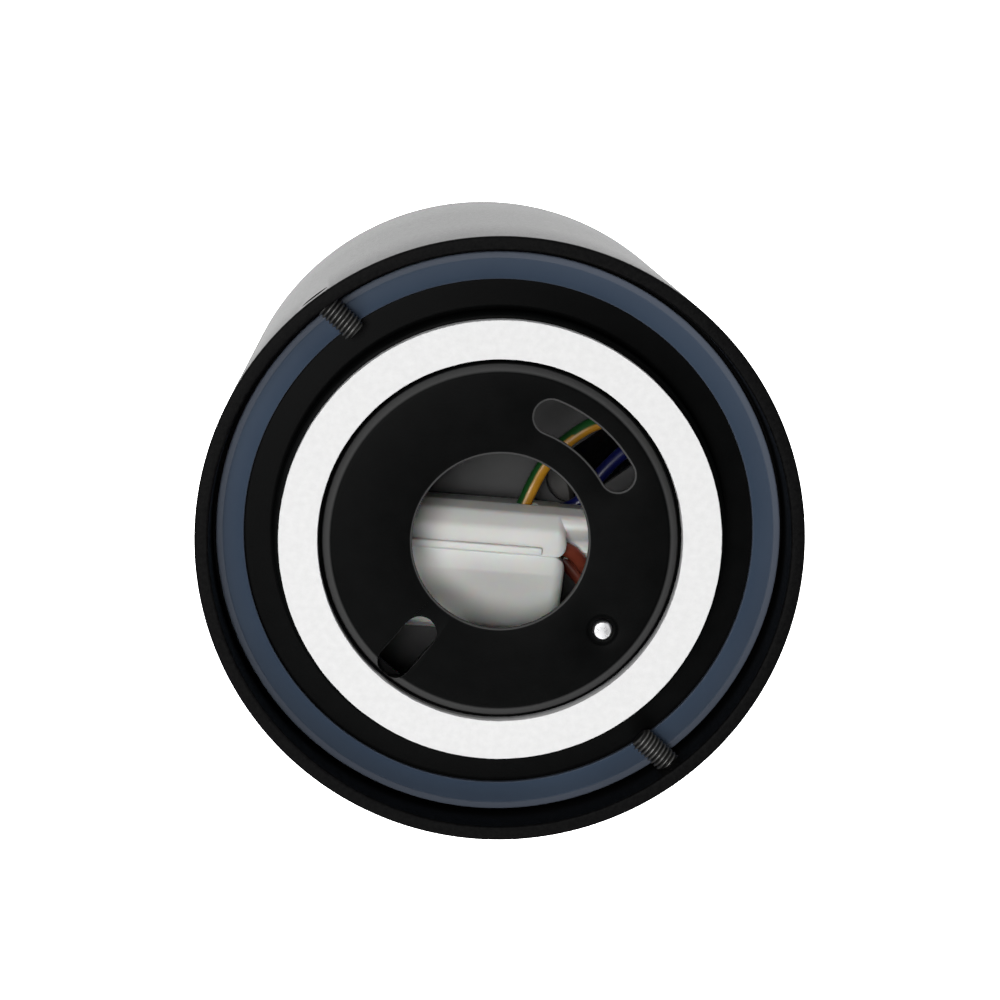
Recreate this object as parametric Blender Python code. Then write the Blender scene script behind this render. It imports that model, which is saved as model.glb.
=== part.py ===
"""Surface-mounted ceiling spotlight: a cylindrical housing that hangs on a round ceiling base.

It stands on its light end, with the ceiling end up. Units are metres, +Z is up, and the origin is the
centre of the lower rim. Azimuths are in degrees from +X, anticlockwise seen from above.
"""

import math

import bmesh
import bpy
from mathutils import Matrix, Vector

MM = 0.001
GAP = 0.3 * MM  # clearance between touching pieces

# ---- driving dimensions -------------------------------------------------------------------------
HOUSING_R = 48.0 * MM
HOUSING_H = 115.0 * MM
BORE_R = 43.8 * MM
RIM_BORE_R = 45.8 * MM  # counterbore at the ceiling end
LEDGE_Z = 101.8 * MM  # step that the loose base rests on
RING_BORE_R = 45.2 * MM  # bore at the light end
RING_SHOULDER_Z = 16.0 * MM

GRUB_R = 2.0 * MM  # M4
GRUB_LENGTH = 8.2 * MM
GRUB_Z = HOUSING_H - 6.2 * MM
GRUB_AZIMUTH = 137.5  # both screws lie along this line
GRUB_OFFSET = 8.9 * MM  # distance of each screw's axis from the centre line
GRUB_TIP_ALONG = 38.6 * MM  # how far out along its axis each tip is

SHEET = 1.2 * MM  # base plate thickness
DISC_TOP_Z = HOUSING_H - 1.1 * MM
CABLE_HOLE_R = 13.9 * MM
DISC_R = 28.2 * MM
FOAM_IN_R = 28.75 * MM
FOAM_OUT_R = 34.9 * MM
FOAM_TOP_Z = HOUSING_H - 0.7 * MM
FOAM_T = 3.1 * MM
SKIRT_R = 35.9 * MM
FLANGE_R = 44.0 * MM
FLANGE_Z = 104.6 * MM  # upper face of the flange
SEAL_OUT_R = 45.1 * MM
SEAL_IN_R = 40.7 * MM
SEAL_LIP = 1.0 * MM

SLOT_W = 5.3 * MM
KIDNEY_R = 21.2 * MM
KIDNEY_FROM, KIDNEY_TO = 29.4, 68.0
RADIAL_AZIMUTH = 228.8
RADIAL_FROM_R, RADIAL_TO_R = 19.35 * MM, 25.5 * MM
STUD_AZIMUTH, STUD_AT_R = 318.5, 21.5 * MM
STUD_R = 1.55 * MM

RING_TOP_Z = 15.7 * MM
RING_FLOOR_Z = 1.0 * MM  # the front ring is recessed behind the housing rim
BAYONET_AZIMUTHS = (90.0, 210.0, 330.0)
BAYONET_TAB_DEG = 16.0
BAYONET_TURN = 30.0
BAYONET_Z = (8.0 * MM, 11.0 * MM)
BAYONET_R = 46.4 * MM
GLASS_R = 36.2 * MM
BAFFLE_R = 26.2 * MM
GLASS_SEAT_Z = 9.2 * MM
GLASS_Z = (11.0 * MM, 13.8 * MM)

LAMP_R = 25.0 * MM
LAMP_FRONT_Z = 17.0 * MM
LAMP_PIN_AT = 5.0 * MM  # GU10: 10 mm between pins
LAMP_TWIST = 22.0
HOLDER_R = 13.9 * MM
HOLDER_Z = 59.1 * MM
HOLDER_SPLIT_Z = 66.7 * MM
HOLDER_TOP_Z = 74.5 * MM
HOLDER_SCREW_AT = 11.7 * MM
HOLDER_SCREW_AZIMUTHS = (-55.0, 125.0)
HOLDER_LEAD_X, HOLDER_LEAD_Y = 3.2 * MM, -2.8 * MM

BRACKET_Z = 76.1 * MM
BRACKET_T = 1.6 * MM
BRACKET_SCREW_AZIMUTHS = (100.0, 220.0, 340.0)
BRACKET_SCREW_AT = 39.3 * MM
LEAD_HOLE_AT, LEAD_HOLE_R = Vector((0.0, -4.2 * MM, 0.0)), 5.4 * MM
WINDOW_ENDS = (Vector((13.5, 4.2, 0.0)) * MM, Vector((27.0, 13.5, 0.0)) * MM)
WINDOW_W = 6.3 * MM
EARTH_SCREW_AZIMUTH, EARTH_SCREW_AT_R = 185.0, 33.0 * MM

BOX_AT = Vector((-10.0, -3.68, 0.0)) * MM  # middle of the terminal box's seam
BOX_TURN = -4.77
BOX_X = (-20.0 * MM, 21.8 * MM)
BOX_Z = (83.5 * MM, 97.5 * MM)
BOX_BACK_Y = 7.3 * MM
BOX_LID_Y = -14.5 * MM
BOX_WALL = 1.5 * MM
RIB_END_X = 17.3 * MM
POLE_YS = (-4.0 * MM, -0.7 * MM, 2.6 * MM)
POLE_Z = 89.2 * MM
POLE_R = 1.1 * MM
LEAD_EXIT_ZS = (91.8 * MM, 87.0 * MM)
EARTH_ENTRY = (14.6 * MM, BOX_BACK_Y - 0.7 * MM, 89.0 * MM)

LEAD_R = 1.2 * MM


# ---- helpers ------------------------------------------------------------------------------------
def clear_scene():
    for obj in list(bpy.data.objects):
        bpy.data.objects.remove(obj, do_unlink=True)


def material(name, color, roughness, metallic=0.0, alpha=1.0):
    found = bpy.data.materials.get(name)
    if found:
        return found
    made = bpy.data.materials.new(name)
    made.use_nodes = True
    shader = made.node_tree.nodes["Principled BSDF"]
    shader.inputs["Base Color"].default_value = (*color, 1.0)
    shader.inputs["Roughness"].default_value = roughness
    shader.inputs["Metallic"].default_value = metallic
    shader.inputs["Alpha"].default_value = alpha
    return made


def polar(radius, azimuth, z=0.0):
    angle = math.radians(azimuth)
    return Vector((radius * math.cos(angle), radius * math.sin(angle), z))


def finish_mesh(bm, name, mat=None, smooth=True):
    """Turns a bmesh into a linked object with outward normals."""
    bmesh.ops.remove_doubles(bm, verts=bm.verts, dist=1e-7)
    bmesh.ops.recalc_face_normals(bm, faces=bm.faces)
    mesh = bpy.data.meshes.new(name)
    bm.to_mesh(mesh)
    bm.free()
    if smooth:
        mesh.shade_smooth()
        mesh.set_sharp_from_angle(angle=math.radians(35))
    obj = bpy.data.objects.new(name, mesh)
    bpy.context.scene.collection.objects.link(obj)
    if mat:
        mesh.materials.append(mat)
    return obj


def turned(name, outline, mat=None, steps=64):
    """A closed (radius, z) outline spun round the Z axis."""
    bm = bmesh.new()
    verts = [bm.verts.new((r, 0.0, z)) for r, z in outline]
    edges = [bm.edges.new((a, b)) for a, b in zip(verts, verts[1:] + verts[:1])]
    axis_edges = [e for e in edges if all(abs(v.co.x) < 1e-9 for v in e.verts)]
    if axis_edges:
        bmesh.ops.delete(bm, geom=axis_edges, context="EDGES_FACES")
    bmesh.ops.spin(
        bm,
        geom=list(bm.verts) + list(bm.edges),
        cent=(0, 0, 0),
        axis=(0, 0, 1),
        angle=2 * math.pi,
        steps=steps,
        use_merge=True,
    )
    return finish_mesh(bm, name, mat)


def prism(name, outline, low, high, mat=None):
    """An (x, y) outline extruded along Z from low to high."""
    bm = bmesh.new()
    face = bm.faces.new([bm.verts.new((x, y, low)) for x, y in outline])
    out = bmesh.ops.extrude_face_region(bm, geom=[face])
    moved = [g for g in out["geom"] if isinstance(g, bmesh.types.BMVert)]
    bmesh.ops.translate(bm, verts=moved, vec=(0, 0, high - low))
    return finish_mesh(bm, name, mat)


def box(name, low, high, mat=None):
    outline = ((low[0], low[1]), (high[0], low[1]), (high[0], high[1]), (low[0], high[1]))
    return prism(name, outline, low[2], high[2], mat)


def rods(name, ends, radius, mat=None, steps=20):
    """One cylinder for each (start, end) pair, in one object."""
    bm = bmesh.new()
    for start, end in ends:
        along = Vector(end) - Vector(start)
        middle = (Vector(start) + Vector(end)) / 2
        turn = along.to_track_quat("Z", "Y").to_matrix().to_4x4()
        bmesh.ops.create_cone(
            bm,
            cap_ends=True,
            segments=steps,
            radius1=radius,
            radius2=radius,
            depth=along.length,
            matrix=Matrix.Translation(middle) @ turn,
        )
    return finish_mesh(bm, name, mat)


def arc(radius, start, end, steps, centre=(0.0, 0.0)):
    points = []
    for i in range(steps + 1):
        at = polar(radius, start + (end - start) * i / steps)
        points.append((centre[0] + at.x, centre[1] + at.y))
    return points


def arc_slot(radius, start, end, half_width, steps=10):
    """Outline of a slot with round ends that follows a circle."""
    first, last = polar(radius, start), polar(radius, end)
    outline = arc(radius + half_width, start, end, steps)
    outline += arc(half_width, end, end + 180, 8, last)[1:-1]
    outline += arc(radius - half_width, end, start, steps)
    outline += arc(half_width, start + 180, start + 360, 8, first)[1:-1]
    return outline


def straight_slot(start, end, half_width):
    """Outline of a straight slot with round ends."""
    across = math.degrees(math.atan2(end.y - start.y, end.x - start.x))
    outline = arc(half_width, across - 90, across + 90, 10, end)
    outline += arc(half_width, across + 90, across + 270, 10, start)
    return outline


def ring_sector(inner, outer, middle, width):
    half = width / 2
    steps = 3
    return arc(outer, middle - half, middle + half, steps) + arc(inner, middle + half, middle - half, steps)


def boolean(obj, tool, operation):
    tool.hide_render = True
    tool.hide_set(True)
    tool.display_type = "WIRE"
    modifier = obj.modifiers.new(operation.title(), "BOOLEAN")
    modifier.operation = operation
    modifier.solver = "EXACT"
    modifier.object = tool
    return obj


def cut(obj, tool):
    return boolean(obj, tool, "DIFFERENCE")


def add(obj, tool):
    return boolean(obj, tool, "UNION")


def put(objects, matrix):
    for obj in objects:
        obj.matrix_world = matrix


def smooth_route(points, spacing):
    """Points read off a Catmull-Rom curve through the given ones."""
    padded = [points[0] * 2 - points[1], *points, points[-1] * 2 - points[-2]]
    route = [points[0]]
    for p0, p1, p2, p3 in zip(padded, padded[1:], padded[2:], padded[3:]):
        steps = max(1, round((p2 - p1).length / spacing))
        for i in range(1, steps + 1):
            t = i / steps
            route.append(
                0.5
                * (
                    2 * p1
                    + (p2 - p0) * t
                    + (2 * p0 - 5 * p1 + 4 * p2 - p3) * t * t
                    + (3 * p1 - p0 - 3 * p2 + p3) * t * t * t
                )
            )
    return route


def lead(name, route, mat):
    """An insulated wire along a smooth curve through the route's points, given in millimetres."""
    points = smooth_route([Vector(p) * MM for p in route], 3.0 * MM)
    curve = bpy.data.curves.new(name, "CURVE")
    curve.dimensions = "3D"
    curve.bevel_depth = LEAD_R
    curve.bevel_resolution = 1
    curve.use_fill_caps = True
    curve.materials.append(mat)
    spline = curve.splines.new("POLY")
    spline.points.add(len(points) - 1)
    for point, at in zip(spline.points, points):
        point.co = (*at, 1.0)
    obj = bpy.data.objects.new(name, curve)
    bpy.context.scene.collection.objects.link(obj)
    return obj


# ---- materials ----------------------------------------------------------------------------------
def materials():
    return {
        "black_coat": material("black_coat", (0.012, 0.012, 0.013), 0.5),
        "black_sheet": material("black_sheet", (0.010, 0.011, 0.012), 0.45),
        "foam": material("foam", (0.86, 0.86, 0.86), 0.9),
        "silicone": material("silicone", (0.10, 0.15, 0.22), 0.4),
        "zinc_sheet": material("zinc_sheet", (0.25, 0.25, 0.25), 0.45, 1.0),
        "steel": material("steel", (0.7, 0.7, 0.7), 0.3, 1.0),
        "black_steel": material("black_steel", (0.03, 0.03, 0.03), 0.35, 1.0),
        "white_nylon": material("white_nylon", (0.75, 0.75, 0.72), 0.45),
        "brass": material("brass", (0.8, 0.6, 0.25), 0.3, 1.0),
        "phenolic": material("phenolic", (0.03, 0.028, 0.026), 0.5),
        "glass": material("glass", (0.9, 0.95, 0.95), 0.05, 0.0, 0.3),
        "lamp_graphite": material("lamp_graphite", (0.035, 0.035, 0.037), 0.4),
        "diffuser": material("diffuser", (0.9, 0.9, 0.88), 0.5),
        "rubber": material("rubber", (0.02, 0.02, 0.02), 0.7),
        "brown": material("brown", (0.16, 0.03, 0.015), 0.4),
        "blue": material("blue", (0.01, 0.02, 0.25), 0.4),
        "green_yellow": material("green_yellow", (0.5, 0.45, 0.02), 0.4),
    }


# ---- housing ------------------------------------------------------------------------------------
def grub_frame(side):
    """Origin on the axis at the foot of the perpendicular, +X outward along the screw, for side 0 or 1."""
    turn = Matrix.Rotation(math.radians(GRUB_AZIMUTH + 180 * side), 4, "Z")
    return turn @ Matrix.Translation((0, -GRUB_OFFSET, GRUB_Z))


def housing(mats):
    edge = 0.4 * MM
    body = turned(
        "housing",
        (
            (HOUSING_R - edge, HOUSING_H),
            (HOUSING_R, HOUSING_H - edge),
            (HOUSING_R, edge),
            (HOUSING_R - edge, 0.0),
            (RING_BORE_R + edge, 0.0),
            (RING_BORE_R, edge),
            (RING_BORE_R, RING_SHOULDER_Z),
            (BORE_R, RING_SHOULDER_Z),
            (BORE_R, LEDGE_Z),
            (RIM_BORE_R, LEDGE_Z),
            (RIM_BORE_R, HOUSING_H - edge),
            (RIM_BORE_R + edge, HOUSING_H),
        ),
        mats["black_coat"],
        steps=60,
    )
    hole_r = GRUB_R + 0.2 * MM
    for side in (0, 1):
        frame = grub_frame(side)
        ends = (frame @ Vector((36 * MM, 0, 0)), frame @ Vector((52 * MM, 0, 0)))
        cut(body, rods(f"grub_hole_{side}", (ends,), hole_r, steps=16))
    low, high = BAYONET_Z
    groove = ((44.6 * MM, low), (44.6 * MM, high), (BAYONET_R, high), (BAYONET_R, low))
    cut(body, turned("bayonet_groove", groove, steps=60))
    for azimuth in BAYONET_AZIMUTHS:
        entry = ring_sector(44.6 * MM, BAYONET_R, azimuth + BAYONET_TURN, BAYONET_TAB_DEG + 5)
        cut(body, prism("bayonet_entry", entry, -1 * MM, (low + high) / 2))
    for azimuth in BRACKET_SCREW_AZIMUTHS:
        lug = box(
            "bracket_lug",
            (35.3 * MM, -4.6 * MM, 60.0 * MM),
            (44.6 * MM, 4.6 * MM, BRACKET_Z - GAP),
        )
        lug.matrix_world = Matrix.Rotation(math.radians(azimuth), 4, "Z")
        add(body, lug)
        top, bottom = (polar(BRACKET_SCREW_AT, azimuth, z * MM) for z in (80, 64))
        cut(body, rods("lug_hole", ((bottom, top),), 2.3 * MM, steps=16))
    return body


def grub_screws(mats):
    """Two M4 screws with a hexagon socket outside and a cup point inside; each origin is on its axis."""
    chamfer = 0.5 * MM
    socket_r = 1.15 * MM
    for side in (0, 1):
        outline = (
            (0.0, 0.0),
            (0.9 * MM, 0.0),
            (GRUB_R - chamfer, 0.0),
            (GRUB_R - 0.05 * MM, chamfer),
            (GRUB_R - 0.05 * MM, GRUB_LENGTH - chamfer),
            (GRUB_R - chamfer, GRUB_LENGTH),
            (0.0, GRUB_LENGTH),
        )
        screw = turned(f"grub_screw_{side + 1}", outline, mats["black_steel"], steps=18)
        hexagon = [(polar(socket_r, 60 * i).x, polar(socket_r, 60 * i).y) for i in range(6)]
        socket = prism(f"grub_socket_{side}", hexagon, GRUB_LENGTH - 2.5 * MM, GRUB_LENGTH + 1 * MM)
        lie_down = Matrix.Rotation(math.radians(90), 4, "Y")
        place = grub_frame(side) @ Matrix.Translation((GRUB_TIP_ALONG, 0, 0)) @ lie_down
        put((screw, socket), place)
        cut(screw, socket)


# ---- ceiling base -------------------------------------------------------------------------------
def base_plate(mats):
    seat_z = FOAM_TOP_Z - FOAM_T - GAP
    top = (
        (CABLE_HOLE_R, DISC_TOP_Z),
        (DISC_R - 1.9 * MM, DISC_TOP_Z),
        (DISC_R - 1.0 * MM, DISC_TOP_Z - 0.25 * MM),
        (DISC_R - 0.3 * MM, DISC_TOP_Z - 0.9 * MM),
        (DISC_R, DISC_TOP_Z - 1.8 * MM),
        (DISC_R, seat_z),
        (SKIRT_R - 0.6 * MM, seat_z),
        (SKIRT_R, seat_z - 0.6 * MM),
        (SKIRT_R, FLANGE_Z + 0.8 * MM),
        (SKIRT_R + 0.8 * MM, FLANGE_Z),
        (FLANGE_R, FLANGE_Z),
    )
    under = (
        (FLANGE_R, FLANGE_Z - SHEET),
        (SKIRT_R - SHEET, FLANGE_Z - SHEET),
        (SKIRT_R - SHEET, seat_z - SHEET),
        (DISC_R - SHEET, seat_z - SHEET),
        (DISC_R - SHEET, DISC_TOP_Z - 2.4 * MM),
        (DISC_R - 2.6 * MM, DISC_TOP_Z - SHEET),
        (CABLE_HOLE_R, DISC_TOP_Z - SHEET),
    )
    plate = turned("base_plate", top + under, mats["black_sheet"], steps=48)
    low, high = DISC_TOP_Z - 3 * MM, DISC_TOP_Z + 3 * MM
    kidney = arc_slot(KIDNEY_R, KIDNEY_FROM, KIDNEY_TO, SLOT_W / 2)
    cut(plate, prism("kidney_slot", kidney, low, high))
    radial = straight_slot(
        polar(RADIAL_FROM_R, RADIAL_AZIMUTH), polar(RADIAL_TO_R, RADIAL_AZIMUTH), SLOT_W / 2
    )
    cut(plate, prism("radial_slot", radial, low, high))
    stud_hole = rods(
        "stud_hole",
        ((polar(STUD_AT_R, STUD_AZIMUTH, low), polar(STUD_AT_R, STUD_AZIMUTH, high)),),
        STUD_R + GAP,
        steps=20,
    )
    cut(plate, stud_hole)
    return plate


def ceiling_gasket(mats):
    edge = 0.25 * MM
    low = FOAM_TOP_Z - FOAM_T
    outline = (
        (FOAM_IN_R + edge, FOAM_TOP_Z),
        (FOAM_OUT_R - edge, FOAM_TOP_Z),
        (FOAM_OUT_R, FOAM_TOP_Z - edge),
        (FOAM_OUT_R, low),
        (FOAM_IN_R, low),
        (FOAM_IN_R, FOAM_TOP_Z - edge),
    )
    turned("ceiling_gasket", outline, mats["foam"], steps=40)


def seal_ring(mats):
    """A U-shaped silicone edge seal that wraps the flange."""
    edge = 0.3 * MM
    top = FLANGE_Z + GAP + SEAL_LIP
    low = FLANGE_Z - SHEET - GAP - SEAL_LIP
    outline = (
        (SEAL_OUT_R - edge, top),
        (SEAL_OUT_R, top - edge),
        (SEAL_OUT_R, low),
        (SEAL_IN_R, low),
        (SEAL_IN_R, low + SEAL_LIP),
        (FLANGE_R + GAP, low + SEAL_LIP),
        (FLANGE_R + GAP, top - SEAL_LIP),
        (SEAL_IN_R, top - SEAL_LIP),
        (SEAL_IN_R, top),
    )
    turned("seal_ring", outline, mats["silicone"], steps=48)


def earth_stud(mats):
    """The threaded stud in the base plate, with its washer, ring terminal and nut below."""
    at = polar(STUD_AT_R, STUD_AZIMUTH)
    place = Matrix.Translation(at)
    under = DISC_TOP_Z - SHEET
    chamfer = 0.35 * MM
    stud = turned(
        "earth_stud",
        (
            (0.0, DISC_TOP_Z + 0.8 * MM),
            (STUD_R - chamfer, DISC_TOP_Z + 0.8 * MM),
            (STUD_R, DISC_TOP_Z + 0.8 * MM - chamfer),
            (STUD_R, under - 6.4 * MM),
            (STUD_R - chamfer, under - 6.7 * MM),
            (0.0, under - 6.7 * MM),
        ),
        mats["steel"],
        steps=18,
    )
    hole = STUD_R + GAP
    washer_low = under - GAP - 0.8 * MM
    washer = turned(
        "stud_washer",
        (
            (hole, washer_low + 0.8 * MM),
            (3.4 * MM, washer_low + 0.8 * MM),
            (3.4 * MM, washer_low),
            (hole, washer_low),
        ),
        mats["steel"],
        steps=18,
    )
    terminal_top = washer_low - GAP
    terminal = ring_terminal(
        "stud_ring_terminal", hole, terminal_top, terminal_top - 1.4 * MM, mats["steel"]
    )
    nut_top = terminal_top - 0.8 * MM - GAP
    hexagon = [(polar(3.2 * MM, 60 * i).x, polar(3.2 * MM, 60 * i).y) for i in range(6)]
    nut = prism("stud_nut", hexagon, nut_top - 2.4 * MM, nut_top, mats["steel"])
    bore = rods("nut_bore", (((0, 0, nut_top - 4 * MM), (0, 0, nut_top + 2 * MM)),), hole, steps=20)
    cut(nut, bore)
    put((stud, washer, nut, bore), place)
    put((terminal, *terminal_tools(terminal)), place @ Matrix.Rotation(math.radians(50), 4, "Z"))


def ring_terminal(name, hole, top, barrel_z, mat):
    """A crimp ring terminal: an eye round the Z axis and a barrel that points along +X."""
    eye = turned(
        name,
        ((hole, top), (3.5 * MM, top), (3.5 * MM, top - 0.8 * MM), (hole, top - 0.8 * MM)),
        mat,
        steps=16,
    )
    neck = box(f"{name}_neck", (3.0 * MM, -1.6 * MM, top - 0.8 * MM), (6.2 * MM, 1.6 * MM, top))
    add(eye, neck)
    barrel = rods(
        f"{name}_barrel", (((5.6 * MM, 0, barrel_z), (10.6 * MM, 0, barrel_z)),), 2.1 * MM, steps=12
    )
    add(eye, barrel)
    bore = rods(
        f"{name}_bore", (((7.4 * MM, 0, barrel_z), (12 * MM, 0, barrel_z)),), LEAD_R + GAP, steps=12
    )
    cut(eye, bore)
    return eye


def terminal_tools(terminal):
    return [m.object for m in terminal.modifiers]


# ---- lampholder bracket ---------------------------------------------------------------------------
def bracket(mats):
    low, high = BRACKET_Z, BRACKET_Z + BRACKET_T
    outer = BORE_R - 0.6 * MM
    plate = turned(
        "lamp_bracket",
        ((0.0, high), (outer, high), (outer, low), (0.0, low)),
        mats["zinc_sheet"],
        steps=40,
    )
    lead_way = (LEAD_HOLE_AT + Vector((0, 0, low - MM)), LEAD_HOLE_AT + Vector((0, 0, high + MM)))
    cut(plate, rods("lead_hole", (lead_way,), LEAD_HOLE_R, steps=16))
    places = [(polar(BRACKET_SCREW_AT, a), 2.3 * MM) for a in BRACKET_SCREW_AZIMUTHS]
    places += [(polar(HOLDER_SCREW_AT, a), 1.6 * MM) for a in HOLDER_SCREW_AZIMUTHS]
    places += [(polar(EARTH_SCREW_AT_R, EARTH_SCREW_AZIMUTH), 2.3 * MM)]
    for at, radius in places:
        ends = (at + Vector((0, 0, low - 3 * MM)), at + Vector((0, 0, high + 3 * MM)))
        cut(plate, rods("bracket_hole", (ends,), radius, steps=16))
    window = straight_slot(*WINDOW_ENDS, WINDOW_W / 2)
    cut(plate, prism("bracket_window", window, low - 2 * MM, high + 2 * MM))
    return plate


def pan_screw(name, at, shank_r, head_r, head_h, under_head, length, mat):
    """A cross-recessed pan-head screw whose head rests at the height under_head."""
    dome = 0.45 * head_h
    outline = (
        (0.0, under_head + head_h),
        (0.55 * head_r, under_head + head_h),
        (0.9 * head_r, under_head + head_h - 0.35 * dome),
        (head_r, under_head + dome),
        (head_r, under_head),
        (shank_r, under_head),
        (shank_r, under_head - length + 0.3 * MM),
        (shank_r - 0.3 * MM, under_head - length),
        (0.0, under_head - length),
    )
    screw = turned(name, outline, mat, steps=10)
    reach, half = 0.6 * head_r, 0.35 * MM
    low, high = under_head + 0.45 * head_h, under_head + head_h + 1 * MM
    blades = [
        box(f"{name}_recess_x", (-reach, -half, low), (reach, half, high)),
        box(f"{name}_recess_y", (-half, -reach, low), (half, reach, high)),
    ]
    put((screw, *blades), Matrix.Translation(at))
    for blade in blades:
        cut(screw, blade)


def bracket_fasteners(mats):
    on_bracket = BRACKET_Z + BRACKET_T + GAP
    steel = mats["steel"]
    for i, azimuth in enumerate(BRACKET_SCREW_AZIMUTHS, 1):
        at = polar(BRACKET_SCREW_AT, azimuth)
        pan_screw(f"bracket_screw_{i}", at, 2.0 * MM, 3.6 * MM, 2.6 * MM, on_bracket, 11 * MM, steel)
    for i, azimuth in enumerate(HOLDER_SCREW_AZIMUTHS, 1):
        at = polar(HOLDER_SCREW_AT, azimuth)
        pan_screw(f"lampholder_screw_{i}", at, 1.25 * MM, 2.3 * MM, 1.8 * MM, on_bracket, 13 * MM, steel)
    eye_top = on_bracket + 0.8 * MM
    terminal = ring_terminal("bracket_ring_terminal", 2.3 * MM, eye_top, eye_top + 1.5 * MM, steel)
    turn = Matrix.Rotation(math.radians(-80), 4, "Z")
    earth_at = polar(EARTH_SCREW_AT_R, EARTH_SCREW_AZIMUTH)
    put((terminal, *terminal_tools(terminal)), Matrix.Translation(earth_at) @ turn)
    on_eye = on_bracket + 0.8 * MM + GAP
    pan_screw("bracket_earth_screw", earth_at, 2.0 * MM, 3.5 * MM, 2.4 * MM, on_eye, 7 * MM, steel)
    middle = (BRACKET_Z - GAP, BRACKET_Z + BRACKET_T + GAP)
    grommet = turned(
        "lead_grommet",
        (
            (4.8 * MM, middle[1] + 0.9 * MM),
            (6.1 * MM, middle[1] + 0.9 * MM),
            (6.1 * MM, middle[1]),
            (LEAD_HOLE_R - GAP, middle[1]),
            (LEAD_HOLE_R - GAP, middle[0]),
            (6.1 * MM, middle[0]),
            (6.1 * MM, middle[0] - 0.9 * MM),
            (4.8 * MM, middle[0] - 0.9 * MM),
        ),
        mats["rubber"],
        steps=16,
    )
    put((grommet,), Matrix.Translation(LEAD_HOLE_AT))


# ---- lampholder and lamp --------------------------------------------------------------------------
def lampholder(mats):
    """The two moulded halves of a GU10 lampholder and the contacts between them."""
    bevel = 0.8 * MM
    face = turned(
        "lampholder_face",
        (
            (0.0, HOLDER_SPLIT_Z),
            (HOLDER_R, HOLDER_SPLIT_Z),
            (HOLDER_R, HOLDER_Z + bevel),
            (HOLDER_R - bevel, HOLDER_Z),
            (0.0, HOLDER_Z),
        ),
        mats["phenolic"],
        steps=28,
    )
    neck_z = HOLDER_Z + 3.8 * MM
    for side in (0, 180):
        narrow = arc_slot(LAMP_PIN_AT, side, side + LAMP_TWIST, 1.95 * MM, steps=5)
        cut(face, prism("pin_slot", narrow, HOLDER_Z - 1 * MM, neck_z + 0.5 * MM))
        wide = arc_slot(LAMP_PIN_AT, side, side + LAMP_TWIST, 2.85 * MM, steps=5)
        cut(face, prism("head_slot", wide, neck_z, HOLDER_SPLIT_Z + 1 * MM))
        centre = polar(LAMP_PIN_AT, side + LAMP_TWIST)
        ends = (centre + Vector((0, 0, HOLDER_Z - 1 * MM)), centre + Vector((0, 0, neck_z + 0.5 * MM)))
        cut(face, rods("head_entry", (ends,), 2.85 * MM, steps=16))
    cap = turned(
        "lampholder_cap",
        (
            (0.0, HOLDER_TOP_Z),
            (HOLDER_R - bevel, HOLDER_TOP_Z),
            (HOLDER_R, HOLDER_TOP_Z - bevel),
            (HOLDER_R, HOLDER_SPLIT_Z + GAP),
            (0.0, HOLDER_SPLIT_Z + GAP),
        ),
        mats["phenolic"],
        steps=28,
    )
    cavity = box("contact_cavity", (-8.3 * MM, -3.6 * MM, 66 * MM), (8.3 * MM, 3.6 * MM, 71 * MM))
    cut(cap, cavity)
    for side in (-1, 1):
        ends = [(side * HOLDER_LEAD_X, HOLDER_LEAD_Y, z * MM) for z in (70, 76)]
        cut(cap, rods("lead_exit", (ends,), LEAD_R + 0.4 * MM, steps=16))
    for azimuth in HOLDER_SCREW_AZIMUTHS:
        for part in (face, cap):
            at = polar(HOLDER_SCREW_AT, azimuth)
            hole = (at + Vector((0, 0, 63 * MM)), at + Vector((0, 0, 76 * MM)))
            cut(part, rods("holder_screw_hole", (hole,), 1.55 * MM, steps=12))
    for i, side in enumerate((-1, 1), 1):
        section = ((2.9, 67.4), (7.9, 67.4), (7.9, 70.4), (7.1, 70.4), (7.1, 68.6), (2.9, 68.6))
        leaf = [(side * x * MM, z * MM) for x, z in section]
        contact = prism(f"lampholder_contact_{i}", leaf, -2.7 * MM, 2.7 * MM, mats["brass"])
        contact.data.transform(Matrix.Rotation(math.radians(90), 4, "X"))


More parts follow.
